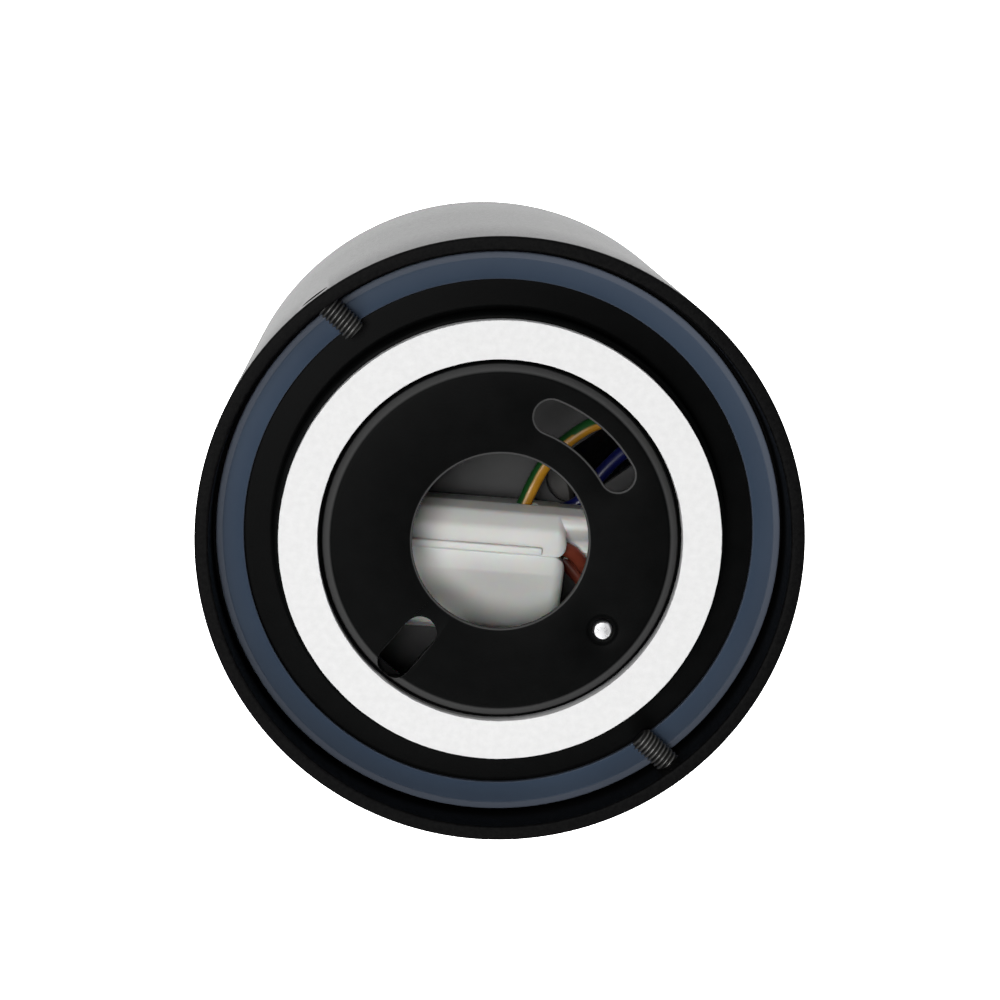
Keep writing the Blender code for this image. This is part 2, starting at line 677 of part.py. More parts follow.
def lamp(mats):
    """A GU10 reflector lamp: it turns about Z to leave the lampholder."""
    front = LAMP_FRONT_Z
    turned(
        "lamp_body",
        (
            (0.0, front + 35 * MM),
            (12.6 * MM, front + 35 * MM),
            (13.4 * MM, front + 30 * MM),
            (17.0 * MM, front + 23 * MM),
            (22.6 * MM, front + 11 * MM),
            (LAMP_R, front + 3 * MM),
            (LAMP_R, front),
            (LAMP_R - 1.0 * MM, front),
            (LAMP_R - 1.0 * MM, front + 3 * MM),
            (LAMP_R - 3.8 * MM, front + 11 * MM),
            (14.5 * MM, front + 22 * MM),
            (10 * MM, front + 27 * MM),
            (0.0, front + 27 * MM),
        ),
        mats["lamp_graphite"],
        steps=32,
    )
    turned(
        "lamp_lens",
        (
            (0.0, front + 2.4 * MM),
            (LAMP_R - 1.4 * MM, front + 2.4 * MM),
            (LAMP_R - 1.4 * MM, front + 0.6 * MM),
            (LAMP_R - 4 * MM, front + 0.2 * MM),
            (0.0, front + 0.2 * MM),
        ),
        mats["diffuser"],
        steps=24,
    )
    base_low = front + 35 * MM + GAP
    turned(
        "lamp_base",
        (
            (0.0, HOLDER_Z - 0.6 * MM),
            (10.4 * MM, HOLDER_Z - 0.6 * MM),
            (11.6 * MM, HOLDER_Z - 2.2 * MM),
            (12.4 * MM, base_low),
            (0.0, base_low),
        ),
        mats["lamp_graphite"],
        steps=24,
    )
    foot = HOLDER_Z - 0.6 * MM + GAP
    shoulder = HOLDER_Z + 4.2 * MM
    for i, side in enumerate((-1, 1), 1):
        pin = turned(
            f"lamp_pin_{i}",
            (
                (0.0, shoulder + 2.4 * MM),
                (2.0 * MM, shoulder + 2.4 * MM),
                (2.5 * MM, shoulder + 1.9 * MM),
                (2.5 * MM, shoulder),
                (1.6 * MM, shoulder),
                (1.6 * MM, foot),
                (0.0, foot),
            ),
            mats["steel"],
            steps=16,
        )
        pin.data.transform(Matrix.Translation((side * LAMP_PIN_AT, 0, 0)))


# ---- front ring and glass ---------------------------------------------------------------------------
def front_ring(mats):
    """The bayonet ring at the light end, with a conical baffle below the glass."""
    outer = RING_BORE_R - GAP
    wall = GLASS_R + 0.4 * MM
    groove = (14.1 * MM, 15.4 * MM)
    ring = turned(
        "front_ring",
        (
            (outer - 0.4 * MM, RING_FLOOR_Z),
            (outer, RING_FLOOR_Z + 0.4 * MM),
            (outer, RING_TOP_Z),
            (outer - 1.7 * MM, RING_TOP_Z),
            (outer - 1.7 * MM, 3.4 * MM),
            (wall + 1.9 * MM, 7.9 * MM),
            (wall + 1.9 * MM, RING_TOP_Z),
            (wall, RING_TOP_Z),
            (wall, groove[1]),
            (wall + 0.8 * MM, groove[1]),
            (wall + 0.8 * MM, groove[0]),
            (wall, groove[0]),
            (wall, GLASS_SEAT_Z),
            (BAFFLE_R, GLASS_SEAT_Z),
            (BAFFLE_R, GLASS_SEAT_Z - 1.2 * MM),
            (41.6 * MM, RING_FLOOR_Z),
        ),
        mats["black_coat"],
        steps=48,
    )
    low, high = BAYONET_Z
    for azimuth in BAYONET_AZIMUTHS:
        tab = ring_sector(outer - 1 * MM, BAYONET_R - 0.4 * MM, azimuth, BAYONET_TAB_DEG)
        add(ring, prism("bayonet_tab", tab, low + 0.4 * MM, high - 0.4 * MM))
    for i in range(2):
        notch = box("grip_notch", (38 * MM, -3 * MM, -1 * MM), (43.2 * MM, 3 * MM, 2.6 * MM))
        notch.matrix_world = Matrix.Rotation(math.radians(180 * i), 4, "Z")
        cut(ring, notch)
    clip = turned(
        "glass_clip",
        (
            (wall - 2.0 * MM, groove[1] - GAP),
            (wall + 0.5 * MM, groove[1] - GAP),
            (wall + 0.5 * MM, groove[0] + GAP),
            (wall - 2.0 * MM, groove[0] + GAP),
        ),
        mats["steel"],
        steps=36,
    )
    cut(clip, prism("clip_gap", ring_sector(30 * MM, 40 * MM, 0, 9), 12 * MM, 17 * MM))
    bevel = 0.4 * MM
    turned(
        "front_glass",
        (
            (0.0, GLASS_Z[1]),
            (GLASS_R - bevel, GLASS_Z[1]),
            (GLASS_R, GLASS_Z[1] - bevel),
            (GLASS_R, GLASS_Z[0] + bevel),
            (GLASS_R - bevel, GLASS_Z[0]),
            (0.0, GLASS_Z[0]),
        ),
        mats["glass"],
        steps=36,
    )
    turned(
        "glass_seal",
        (
            (31.4 * MM, GLASS_Z[0] - GAP),
            (GLASS_R - 0.2 * MM, GLASS_Z[0] - GAP),
            (GLASS_R - 0.2 * MM, GLASS_SEAT_Z + GAP),
            (31.4 * MM, GLASS_SEAT_Z + GAP),
        ),
        mats["rubber"],
        steps=36,
    )


# ---- terminal box -----------------------------------------------------------------------------------
def box_frame():
    return Matrix.Translation(BOX_AT) @ Matrix.Rotation(math.radians(BOX_TURN), 4, "Z")


def bar_along_x(name, section, low, high, mat=None):
    """A (y, z) section extruded along X."""
    obj = prism(name, section, low, high, mat)
    swap = Matrix(((0, 0, 1, 0), (1, 0, 0, 0), (0, 1, 0, 0), (0, 0, 0, 1)))
    obj.data.transform(swap)
    return obj


def back_section(inset):
    """The (y, z) section of the box's back shell, from the seam to its rounded edge."""
    low, high = BOX_Z[0] + inset, BOX_Z[1] - inset
    y = BOX_BACK_Y - inset
    seam = GAP / 2 if not inset else -1 * MM
    return (
        (seam, low),
        (y - 1.0 * MM, low),
        (y, low + 1.0 * MM),
        (y, high - 7.5 * MM),
        (y - 0.4 * MM, high - 5.1 * MM),
        (y - 1.4 * MM, high - 3.1 * MM),
        (y - 3.0 * MM, high - 1.5 * MM),
        (y - 4.9 * MM, high - 0.4 * MM),
        (seam, high),
    )


def clamp_section():
    """The (y, z) section of the lead clamp that carries the back shell's rear half on past its end."""
    low, high = BOX_Z[0] + 1.5 * MM, BOX_Z[1]
    y = BOX_BACK_Y
    return (
        (2.6 * MM, low),
        (y, low),
        (y, high - 7.5 * MM),
        (y - 0.4 * MM, high - 5.1 * MM),
        (y - 1.4 * MM, high - 3.1 * MM),
        (y - 2.3 * MM, high - 2.5 * MM),
        (y - 3.4 * MM, high - 3.3 * MM),
        (y - 4.3 * MM, high - 6.0 * MM),
        (2.7 * MM, low + 3.0 * MM),
    )


def lid_section(inset):
    low, high = BOX_Z[0] + inset, BOX_Z[1] - 0.3 * MM - inset
    y = BOX_LID_Y + inset
    seam = -GAP / 2 if not inset else 1 * MM
    return (
        (seam, high),
        (-2.4 * MM, high - 0.1 * MM),
        (-3.8 * MM, high - 0.7 * MM),
        (-5.4 * MM, high - 2.0 * MM),
        (y + 2.0 * MM, high - 7.6 * MM),
        (y + 0.5 * MM, high - 9.6 * MM),
        (y, low + 2.0 * MM),
        (y + 1.0 * MM, low),
        (seam, low),
    )


def terminal_box(mats):
    frame = box_frame()
    low_x, high_x = BOX_X
    back = bar_along_x("terminal_box_back", back_section(0), low_x, high_x, mats["white_nylon"])
    rib = box(
        "seam_rib",
        (low_x + 1 * MM, GAP / 2, BOX_Z[1] - 1 * MM),
        (RIB_END_X, 1.45 * MM, BOX_Z[1] + 0.8 * MM),
    )
    tail = bar_along_x("lead_clamp", clamp_section(), high_x - 1 * MM, high_x + 6 * MM)
    back_hollow = bar_along_x("back_hollow", back_section(BOX_WALL), low_x + BOX_WALL, high_x - BOX_WALL)
    lid = bar_along_x("terminal_box_lid", lid_section(0), low_x, high_x, mats["white_nylon"])
    lid_hollow = bar_along_x("lid_hollow", lid_section(BOX_WALL), low_x + BOX_WALL, high_x - BOX_WALL)
    exits = [((high_x - 4 * MM, 0.6 * MM, z), (high_x + 4 * MM, 0.6 * MM, z)) for z in LEAD_EXIT_ZS]
    lead_exits = rods("lead_exits", exits, LEAD_R + 0.9 * MM, steps=16)
    entry_z = (BOX_Z[0] + BOX_Z[1]) / 2
    entries = [((low_x - 4 * MM, 0, entry_z), (low_x + 4 * MM, 0, entry_z))]
    cable_entry = rods("cable_entry", entries, 4.6 * MM, steps=20)
    earth_entry = rods(
        "earth_entry",
        ((Vector(EARTH_ENTRY) + Vector((1.6, 3.2, 0)) * MM, Vector(EARTH_ENTRY) - Vector((2, 4, 0)) * MM),),
        LEAD_R + 1.1 * MM,
        steps=16,
    )
    put((back, rib, tail, back_hollow, lid_hollow, lead_exits, cable_entry, earth_entry), frame)
    put((lid,), frame)
    add(back, rib)
    add(back, tail)
    cut(back, back_hollow)
    cut(lid, lid_hollow)
    for shell in (back, lid):
        cut(shell, lead_exits)
        cut(shell, cable_entry)
    cut(back, earth_entry)


def terminal_block(mats):
    """Three brass clamps with two screws each, in a nylon block held by the box's back shell."""
    frame = box_frame()
    half = 9.5 * MM
    low, high = POLE_Z - 2.2 * MM, POLE_Z + 2.6 * MM
    block = box(
        "terminal_block",
        (-half, POLE_YS[0] - 1.7 * MM, low),
        (half, POLE_YS[-1] + 1.7 * MM, high),
        mats["white_nylon"],
    )
    poles = [((-half - MM, y, POLE_Z), (half + MM, y, POLE_Z)) for y in POLE_YS]
    bores = rods("pole_bores", poles, POLE_R + GAP, steps=8)
    heads = [(x * MM, y) for x in (-5.5, 5.5) for y in POLE_YS]
    screw_low = POLE_Z + POLE_R + GAP
    shafts = rods(
        "screw_shafts",
        [((x, y, POLE_Z), (x, y, high + MM)) for x, y in heads],
        1.3 * MM,
        steps=8,
    )
    put((block, bores, shafts), frame)
    cut(block, bores)
    cut(block, shafts)
    for i, y in enumerate(POLE_YS, 1):
        ends = ((-half + MM, y, POLE_Z), (half - MM, y, POLE_Z))
        clamp = rods(f"terminal_clamp_{i}", (ends,), POLE_R, mats["brass"], steps=10)
        clamp_bore = rods(f"clamp_bore_{i}", (((-half, y, POLE_Z), (half, y, POLE_Z)),), 0.8 * MM, steps=10)
        put((clamp, clamp_bore), frame)
        cut(clamp, clamp_bore)
    for i, (x, y) in enumerate(heads, 1):
        ends = ((x, y, screw_low), (x, y, high - 0.2 * MM))
        screw = rods(f"terminal_screw_{i}", (ends,), 1.0 * MM, mats["steel"], steps=8)
        put((screw,), frame)


# ---- leads ------------------------------------------------------------------------------------------
def leads(mats):
    """The wires, each a hand-laid route in millimetres."""
    lead(
        "brown_lead",
        (
            (5.0, -4.4, 91.8),
            (9.2, -4.6, 91.8),
            (12.2, -5.3, 91.6),
            (14.9, -8.6, 89.6),
            (16.6, -12.4, 86.2),
            (15.2, -12.2, 82.6),
            (10.6, -7.4, 80.6),
            (6.2, -3.9, 80.9),
            (3.9, -3.0, 80.5),
            (3.2, -2.8, 78.8),
            (3.2, -2.8, 75.0),
            (3.2, -2.8, 71.6),
        ),
        mats["brown"],
    )
    lead(
        "blue_lead",
        (
            (5.0, -4.4, 87.0),
            (9.4, -4.7, 87.0),
            (12.6, -5.0, 87.0),
            (17.4, -5.4, 87.2),
            (22.4, -2.6, 87.0),
            (25.8, 3.4, 86.2),
            (26.6, 9.2, 85.2),
            (24.4, 11.6, 83.6),
            (21.4, 9.9, 82.6),
            (17.6, 6.0, 82.0),
            (13.8, 1.2, 82.0),
            (8.0, -0.4, 82.0),
            (1.6, -0.4, 82.0),
            (-2.2, -1.8, 81.6),
            (-3.2, -2.8, 79.2),
            (-3.2, -2.8, 75.0),
            (-3.2, -2.8, 71.6),
        ),
        mats["blue"],
    )
    lead(
        "earth_lead_base",
        (
            (2.9, -0.9, 89.0),
            (4.5, 2.0, 89.0),
            (5.9, 5.0, 89.0),
            (8.0, 8.6, 88.4),
            (11.2, 12.2, 88.4),
            (16.2, 15.7, 90.0),
            (21.6, 17.0, 93.6),
            (26.6, 14.4, 99.0),
            (28.7, 7.0, 104.5),
            (27.2, 0.4, 107.8),
            (23.9, -4.9, 109.7),
            (21.5, -7.8, 109.9),
        ),
        mats["green_yellow"],
    )
    lead(
        "earth_lead_bracket",
        (
            (-26.4, -2.3, 90.5),
            (-31.4, -1.9, 90.5),
            (-35.2, -3.4, 89.0),
            (-37.2, -8.0, 86.0),
            (-35.8, -13.6, 83.0),
            (-32.4, -17.0, 81.0),
            (-30.8, -14.9, 80.4),
            (-31.4, -11.2, 80.3),
        ),
        mats["green_yellow"],
    )


def main():
    clear_scene()
    mats = materials()
    housing(mats)
    grub_screws(mats)
    base_plate(mats)
    ceiling_gasket(mats)
    seal_ring(mats)
    earth_stud(mats)
    bracket(mats)
    bracket_fasteners(mats)
    lampholder(mats)
    lamp(mats)
    front_ring(mats)
    terminal_box(mats)
    terminal_block(mats)
    leads(mats)


main()
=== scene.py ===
"""Looks of the surface-mounted ceiling spotlight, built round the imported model. Metres, +Z up."""

import math

import bmesh
import bpy
from mathutils import Matrix, Vector, geometry, noise


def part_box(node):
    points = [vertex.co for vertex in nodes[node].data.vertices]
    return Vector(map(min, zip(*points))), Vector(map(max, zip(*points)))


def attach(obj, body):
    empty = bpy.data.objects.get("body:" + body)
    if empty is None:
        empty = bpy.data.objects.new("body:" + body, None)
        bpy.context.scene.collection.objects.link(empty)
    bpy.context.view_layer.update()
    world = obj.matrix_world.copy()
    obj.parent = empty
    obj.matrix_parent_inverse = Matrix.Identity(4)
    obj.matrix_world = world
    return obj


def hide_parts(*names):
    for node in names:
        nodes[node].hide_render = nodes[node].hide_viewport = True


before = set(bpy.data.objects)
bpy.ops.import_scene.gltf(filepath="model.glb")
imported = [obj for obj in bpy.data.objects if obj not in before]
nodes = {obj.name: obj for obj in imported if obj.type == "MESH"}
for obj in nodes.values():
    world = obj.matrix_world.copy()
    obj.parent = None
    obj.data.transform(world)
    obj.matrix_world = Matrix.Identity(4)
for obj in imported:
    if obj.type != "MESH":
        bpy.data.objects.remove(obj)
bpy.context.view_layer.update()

MM = 0.001


def mm(*values):
    """Values given in millimetres, in metres."""
    return tuple(v * MM for v in values)


TOP_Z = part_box("housing")[1].z
HOUSING_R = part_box("housing")[1].x
ROUND = 216  # segments of a large visible circle

DISC_TOP_Z = 113.9 * MM
DISC_R = 28.2 * MM
CABLE_HOLE_R = 13.9 * MM
SHEET = 1.2 * MM
SEAT_Z = 110.9 * MM
SKIRT_R = 35.9 * MM
FLANGE_R = 44.0 * MM
FLANGE_Z = 104.6 * MM
BRACKET_LOW_Z, BRACKET_TOP_Z = 76.1 * MM, 77.7 * MM
HOLDER_Z, HOLDER_SPLIT_Z, HOLDER_TOP_Z = 59.1 * MM, 66.7 * MM, 74.5 * MM
HOLDER_R = 13.9 * MM
HOLDER_SCREW_R, HOLDER_SCREW_AZIMUTHS = 11.7 * MM, (-55.0, 125.0)
BRACKET_SCREW_R, BRACKET_SCREW_AZIMUTHS = 39.3 * MM, (100, 220, 340)
EARTH_SCREW_R, EARTH_SCREW_AZIMUTH = 33 * MM, 185
GROMMET_Y = -4.2 * MM
PIN_R = 5 * MM
LAMP_FRONT_Z = 17.0 * MM
GRUB_AZIMUTH, GRUB_OFFSET, GRUB_Z = 137.5, 8.9 * MM, TOP_Z - 6.2 * MM
GRUB_TIP, GRUB_LENGTH = 38.6 * MM, 8.2 * MM
STUD_R, STUD_ANGLE = 21.5 * MM, math.radians(318.5)
STUD_AT = Vector((STUD_R * math.cos(STUD_ANGLE), STUD_R * math.sin(STUD_ANGLE), 0))
BOX_FRAME = Matrix.Translation(Vector((-10.0, -3.68, 0)) * MM) @ Matrix.Rotation(math.radians(-4.77), 4, "Z")
BOX_X = (-20.0 * MM, 21.3 * MM)
BOX_BACK_Y = 7.3 * MM
RIB_END_X = 17.3 * MM
STRIPE_SIDE = Vector((-0.8, 0.6, 0.0))
BOX_Z = (83.5 * MM, 97.5 * MM)
POLE_YS = mm(-4.0, -0.7, 2.6)
POLE_Z = 89.2 * MM
LEAD_R = 1.2 * MM
POLE_XS = (-5.5 * MM, 5.5 * MM)
LIE_DOWN = Matrix.Rotation(math.radians(90), 4, "Y")  # turns +Z to +X


# ---- camera, floor and lights -------------------------------------------------------------------
def camera():
    """Looks almost straight down into the ceiling end."""
    right = Vector((0.99951, 0.0, 0.0314))
    up = Vector((0.00453, 0.98954, -0.1442))
    back = Vector((-0.03107, 0.14428, 0.989))
    turn = Matrix((right, up, back)).transposed().to_4x4()
    data = bpy.data.cameras.new("camera")
    data.lens = 108.72
    data.sensor_width = 36.0
    data.clip_start = 0.01
    cam = bpy.data.objects.new("camera", data)
    cam.matrix_world = Matrix.Translation((-0.01479, 0.07496, 0.58258)) @ turn
    bpy.context.scene.collection.objects.link(cam)
    bpy.context.scene.camera = cam


def softbox(name, at, aim, size, power):
    data = bpy.data.lights.new(name, "AREA")
    data.shape = "RECTANGLE"
    data.size, data.size_y = size
    data.energy = power
    lamp = bpy.data.objects.new(name, data)
    way = Vector(aim) - Vector(at)
    lamp.matrix_world = Matrix.Translation(at) @ way.to_track_quat("-Z", "Y").to_matrix().to_4x4()
    bpy.context.scene.collection.objects.link(lamp)


def studio():
    mesh = bpy.data.meshes.new("floor")
    half = 4.0
    mesh.from_pydata(
        [(-half, -half, 0), (half, -half, 0), (half, half, 0), (-half, half, 0)], [], [(0, 1, 2, 3)],
    )
    floor = bpy.data.objects.new("floor", mesh)
    floor.location.z = -0.0003  # just under the part
    bpy.context.scene.collection.objects.link(floor)
    mesh.materials.append(
        surface(
            "floor_paper", (0.80, 0.80, 0.80), (0.82, 0.82, 0.82), 40.0, (0.6, 0.7), 0.0,
            Emission_Color=(1, 1, 1, 1), Emission_Strength=3.0,
        )
    )
    softbox("overhead", (-0.20, 0.10, 1.25), (0, 0, 0.1), (0.35, 0.35), 7.2)
    softbox("front", (-0.10, -0.60, 1.05), (0, 0, 0.1), (0.7, 0.5), 5.4)
    softbox("key_left", (-1.0, 0.30, 0.9), (0, 0, 0.08), (0.5, 0.5), 2.2)
    softbox("key_right", (0.95, 0.85, 0.60), (0, 0, 0.08), (0.5, 0.5), 3.0)
    world = bpy.data.worlds.new("studio")
    world.use_nodes = True
    world.node_tree.nodes["Background"].inputs["Color"].default_value = (1.0, 0.99, 0.97, 1.0)
    world.node_tree.nodes["Background"].inputs["Strength"].default_value = 0.05
    bpy.context.scene.world = world
    bpy.context.scene.view_settings.view_transform = "Standard"


# ---- materials ----------------------------------------------------------------------------------
def surface(name, dark, light, scale, rough, bump, fine=None, **constants):
    """A Principled material whose colour and roughness drift with noise of the given scale per metre.

    bump is the height of the relief in metres, from noise at the scale fine.
    """
    mat = bpy.data.materials.new(name)
    mat.use_nodes = True
    tree = mat.node_tree
    shader = tree.nodes["Principled BSDF"]
    for socket, value in constants.items():
        shader.inputs[socket.replace("_", " ")].default_value = value
    coords = tree.nodes.new("ShaderNodeTexCoord")
    drift = tree.nodes.new("ShaderNodeTexNoise")
    drift.inputs["Scale"].default_value = scale
    drift.inputs["Detail"].default_value = 4.0
    tree.links.new(coords.outputs["Object"], drift.inputs["Vector"])
    ramp = tree.nodes.new("ShaderNodeValToRGB")
    ramp.color_ramp.elements[0].position = 0.3
    ramp.color_ramp.elements[0].color = (*dark, 1.0)
    ramp.color_ramp.elements[1].position = 0.7
    ramp.color_ramp.elements[1].color = (*light, 1.0)
    tree.links.new(drift.outputs["Fac"], ramp.inputs["Fac"])
    tree.links.new(ramp.outputs["Color"], shader.inputs["Base Color"])
    spread = tree.nodes.new("ShaderNodeMapRange")
    spread.inputs["To Min"].default_value = rough[0]
    spread.inputs["To Max"].default_value = rough[1]
    tree.links.new(drift.outputs["Fac"], spread.inputs["Value"])
    tree.links.new(spread.outputs["Result"], shader.inputs["Roughness"])
    if bump:
        grain = tree.nodes.new("ShaderNodeTexNoise")
        grain.inputs["Scale"].default_value = fine
        grain.inputs["Detail"].default_value = 2.0
        tree.links.new(coords.outputs["Object"], grain.inputs["Vector"])
        relief = tree.nodes.new("ShaderNodeBump")
        relief.inputs["Strength"].default_value = 1.0
        relief.inputs["Distance"].default_value = bump
        tree.links.new(grain.outputs["Fac"], relief.inputs["Height"])
        tree.links.new(relief.outputs["Normal"], shader.inputs["Normal"])
    return mat


def attribute_mix(mat, attribute, color):
    """Mixes a material's base colour towards another one by a mesh attribute."""
    tree = mat.node_tree
    shader = tree.nodes["Principled BSDF"]
    source = shader.inputs["Base Color"].links[0].from_socket
    reader = tree.nodes.new("ShaderNodeAttribute")
    reader.attribute_name = attribute
    mix = tree.nodes.new("ShaderNodeMix")
    mix.data_type = "RGBA"
    tree.links.new(reader.outputs["Fac"], mix.inputs["Factor"])
    tree.links.new(source, mix.inputs["A"])
    mix.inputs["B"].default_value = (*color, 1.0)
    tree.links.new(mix.outputs["Result"], shader.inputs["Base Color"])
    return mat


def silicone():
    """Blue-grey silicone: paler where it is thick, beyond the steel's edge."""
    mat = surface(
        "silicone_seal", (0.030, 0.048, 0.080), (0.036, 0.056, 0.090), 60.0, (0.30, 0.40), 0.000006, 900.0,
        Specular_IOR_Level=0.05,
    )
    return attribute_mix(mat, "thick", (0.085, 0.10, 0.13))


MATS = {
    "coat": surface(
        "powder_coat", (0.0022, 0.0022, 0.0024), (0.0055, 0.0055, 0.0055), 1400.0, (0.36, 0.50), 0.000035,
        2400.0, Specular_IOR_Level=0.025,
    ),
    "sheet": attribute_mix(
        surface(
            "black_sheet", (0.0020, 0.0022, 0.0022), (0.0030, 0.0032, 0.0032), 300.0, (0.36, 0.42),
            0.000004, 5200.0,
            Specular_IOR_Level=0.02,
        ),
        # the edge attribute lightens the rolled hole edges and the shoulder: a painted highlight
        "edge",
        (0.075, 0.075, 0.075),
    ),
    # zinc kept far darker than bare zinc: painted shade for the bracket deep inside the housing
    "zinc": surface(
        "zinc_sheet", (0.045, 0.045, 0.046), (0.060, 0.060, 0.060), 160.0, (0.5, 0.65), 0.000006, 2500.0,
        Metallic=0.3,
    ),
    "foam": surface("foam", (0.80, 0.80, 0.80), (0.85, 0.85, 0.85), 900.0, (0.85, 0.95), 0.00004, 3200.0),
    "silicone": silicone(),
    "steel": surface(
        "zinc_steel", (0.62, 0.62, 0.63), (0.72, 0.72, 0.72), 500.0, (0.22, 0.36), 0.000004, 4000.0,
        Metallic=1.0,
    ),
    "black_steel": attribute_mix(
        surface(
            "black_steel", (0.020, 0.020, 0.020), (0.035, 0.034, 0.032), 700.0, (0.30, 0.42), 0.000004,
            5000.0, Metallic=0.6,
        ),
        # lighter grey on the thread crests: a painted highlight
        "crest_highlight",
        (0.17, 0.17, 0.165),
    ),
    "nylon": surface(
        "white_nylon", (0.92, 0.91, 0.875), (0.95, 0.94, 0.905), 90.0, (0.38, 0.48), 0.000004, 2500.0,
        Subsurface_Weight=0.25, Subsurface_Scale=0.002,
    ),
    "brass": surface(
        "brass", (0.62, 0.43, 0.16), (0.78, 0.58, 0.26), 600.0, (0.25, 0.4), 0.000004, 4000.0,
        Metallic=1.0,
    ),
    "phenolic": surface(
        "black_phenolic", (0.022, 0.020, 0.018), (0.034, 0.031, 0.028), 250.0, (0.45, 0.6), 0.00001,
        1500.0,
    ),
    "glass": surface(
        "front_glass", (0.93, 0.96, 0.95), (0.96, 0.98, 0.97), 20.0, (0.02, 0.04), 0.0,
        Transmission_Weight=1.0, IOR=1.5,
    ),
    # near-black lamp shell and neck: painted shade, so the lamp stays dark where it shows through the
    # bracket's slot
    "painted_shade_lamp": surface(
        "lamp_shell", (0.020, 0.020, 0.021), (0.028, 0.028, 0.030), 120.0, (0.30, 0.38), 0.000003, 1500.0,
    ),
    "diffuser": surface(
        "lamp_lens", (0.82, 0.82, 0.80), (0.88, 0.88, 0.86), 300.0, (0.35, 0.45), 0.00001, 1200.0,
        Subsurface_Weight=0.3, Subsurface_Scale=0.002,
    ),
    "rubber": surface(
        "black_rubber", (0.014, 0.014, 0.014), (0.022, 0.022, 0.022), 500.0, (0.6, 0.75), 0.00001, 2500.0,
    ),
    "brown": surface(
        "brown_pvc", (0.21, 0.042, 0.022), (0.25, 0.054, 0.028), 400.0, (0.30, 0.40), 0.000005, 1800.0,
    ),
    # blue darkened to navy: painted shade on a lead that lies in the housing's shadow
    "blue": surface(
        "blue_pvc", (0.004, 0.006, 0.070), (0.006, 0.009, 0.090), 400.0, (0.30, 0.40), 0.000005, 1800.0,
    ),
    # yellow darkened to amber and green to dark green: painted shade on leads deep in the housing
    "earth": attribute_mix(
        surface(
            "earth_pvc", (0.34, 0.155, 0.008), (0.42, 0.20, 0.012), 400.0, (0.30, 0.40), 0.000005, 1800.0,
        ),
        "green",
        (0.008, 0.060, 0.012),
    ),
}


# ---- mesh helpers -------------------------------------------------------------------------------
def polar(radius, azimuth, z=0.0):
    angle = math.radians(azimuth)
    return Vector((radius * math.cos(angle), radius * math.sin(angle), z))


def rounded(outline, radius, steps=4, even=False):
    """A closed outline with its corners turned into arcs; radius is one number or one for each corner.

    even gives nearly straight corners their points too, so that similar outlines match one to one.
    """
    radii = radius if hasattr(radius, "__len__") else [radius] * len(outline)
    out = []
    count = len(outline)
    for i, (here, r) in enumerate(zip(outline, radii)):
        p = Vector(here)
        to_last = Vector(outline[i - 1]) - p
        to_next = Vector(outline[(i + 1) % count]) - p
        reach = min(to_last.length, to_next.length) * 0.48
        corner = to_last.angle(to_next)
        if not r or (corner > math.radians(176) and not even):
            out.append(tuple(p))
            continue
        back = min(r / math.tan(min(corner, 3.14) / 2), reach)
        a, b = p + to_last.normalized() * back, p + to_next.normalized() * back
        for k in range(steps + 1):
            t = k / steps
            out.append(tuple(a * (1 - t) ** 2 + p * 2 * t * (1 - t) + b * t * t))
    return out


def finish_mesh(name, bm, sharp=32.0):
    bmesh.ops.remove_doubles(bm, verts=bm.verts, dist=2e-7)
    bmesh.ops.recalc_face_normals(bm, faces=bm.faces)
    mesh = bpy.data.meshes.new(name)
    bm.to_mesh(mesh)
    bm.free()
    mesh.shade_smooth()
    mesh.set_sharp_from_angle(angle=math.radians(sharp))
    obj = bpy.data.objects.new(name, mesh)
    bpy.context.scene.collection.objects.link(obj)
    return obj


def spun(bm, outline, segments, closed=True):
    """Adds a (radius, z) outline spun round Z. Points on the axis are shared."""
    rings = []
    for r, z in outline:
        if r < 1e-7:
            rings.append([bm.verts.new((0, 0, z))])
        else:
            rings.append([bm.verts.new(polar(r, 360 * k / segments, z)) for k in range(segments)])
    pairs = list(zip(rings, rings[1:] + rings[:1])) if closed else list(zip(rings, rings[1:]))
    for a, b in pairs:
        for k in range(segments):
            n = (k + 1) % segments
            quad = [a[k % len(a)], a[n % len(a)], b[n % len(b)], b[k % len(b)]]
            face = list(dict.fromkeys(quad))
            if len(face) > 2:
                bm.faces.new(face)


def lathe(name, outline, segments=ROUND, sharp=32.0):
    bm = bmesh.new()
    spun(bm, outline, segments, closed=outline[0][0] > 1e-7 or outline[-1][0] > 1e-7)
    return finish_mesh(name, bm, sharp)


def round_off(bm, edges, width):
    bmesh.ops.bevel(bm, geom=edges, offset=width, segments=3, profile=0.5, affect="EDGES", clamp_overlap=True)


def prism(name, outline, low, high, bevel=0.0):
    """An (x, y) outline extruded along Z, with its end edges rounded."""
    bm = bmesh.new()
    face = bm.faces.new([bm.verts.new((x, y, low)) for x, y in outline])
    out = bmesh.ops.extrude_face_region(bm, geom=[face])
    moved = [g for g in out["geom"] if isinstance(g, bmesh.types.BMVert)]
    bmesh.ops.translate(bm, verts=moved, vec=(0, 0, high - low))
    bmesh.ops.recalc_face_normals(bm, faces=bm.faces)
    if bevel:
        ends = [e for e in bm.edges if e.calc_face_angle(0) > math.radians(40)]
        round_off(bm, ends, bevel)
    return finish_mesh(name, bm)


def block(name, low, high, bevel=0.0):
    outline = ((low[0], low[1]), (high[0], low[1]), (high[0], high[1]), (low[0], high[1]))
    return prism(name, outline, low[2], high[2], bevel)


def rod(name, start, end, radius, segments=32):
    way = Vector(end) - Vector(start)
    obj = lathe(name, ((0, 0), (radius, 0), (radius, way.length), (0, way.length)), segments)
    turn = way.to_track_quat("Z", "Y").to_matrix().to_4x4()
    obj.data.transform(Matrix.Translation(start) @ turn)
    return obj


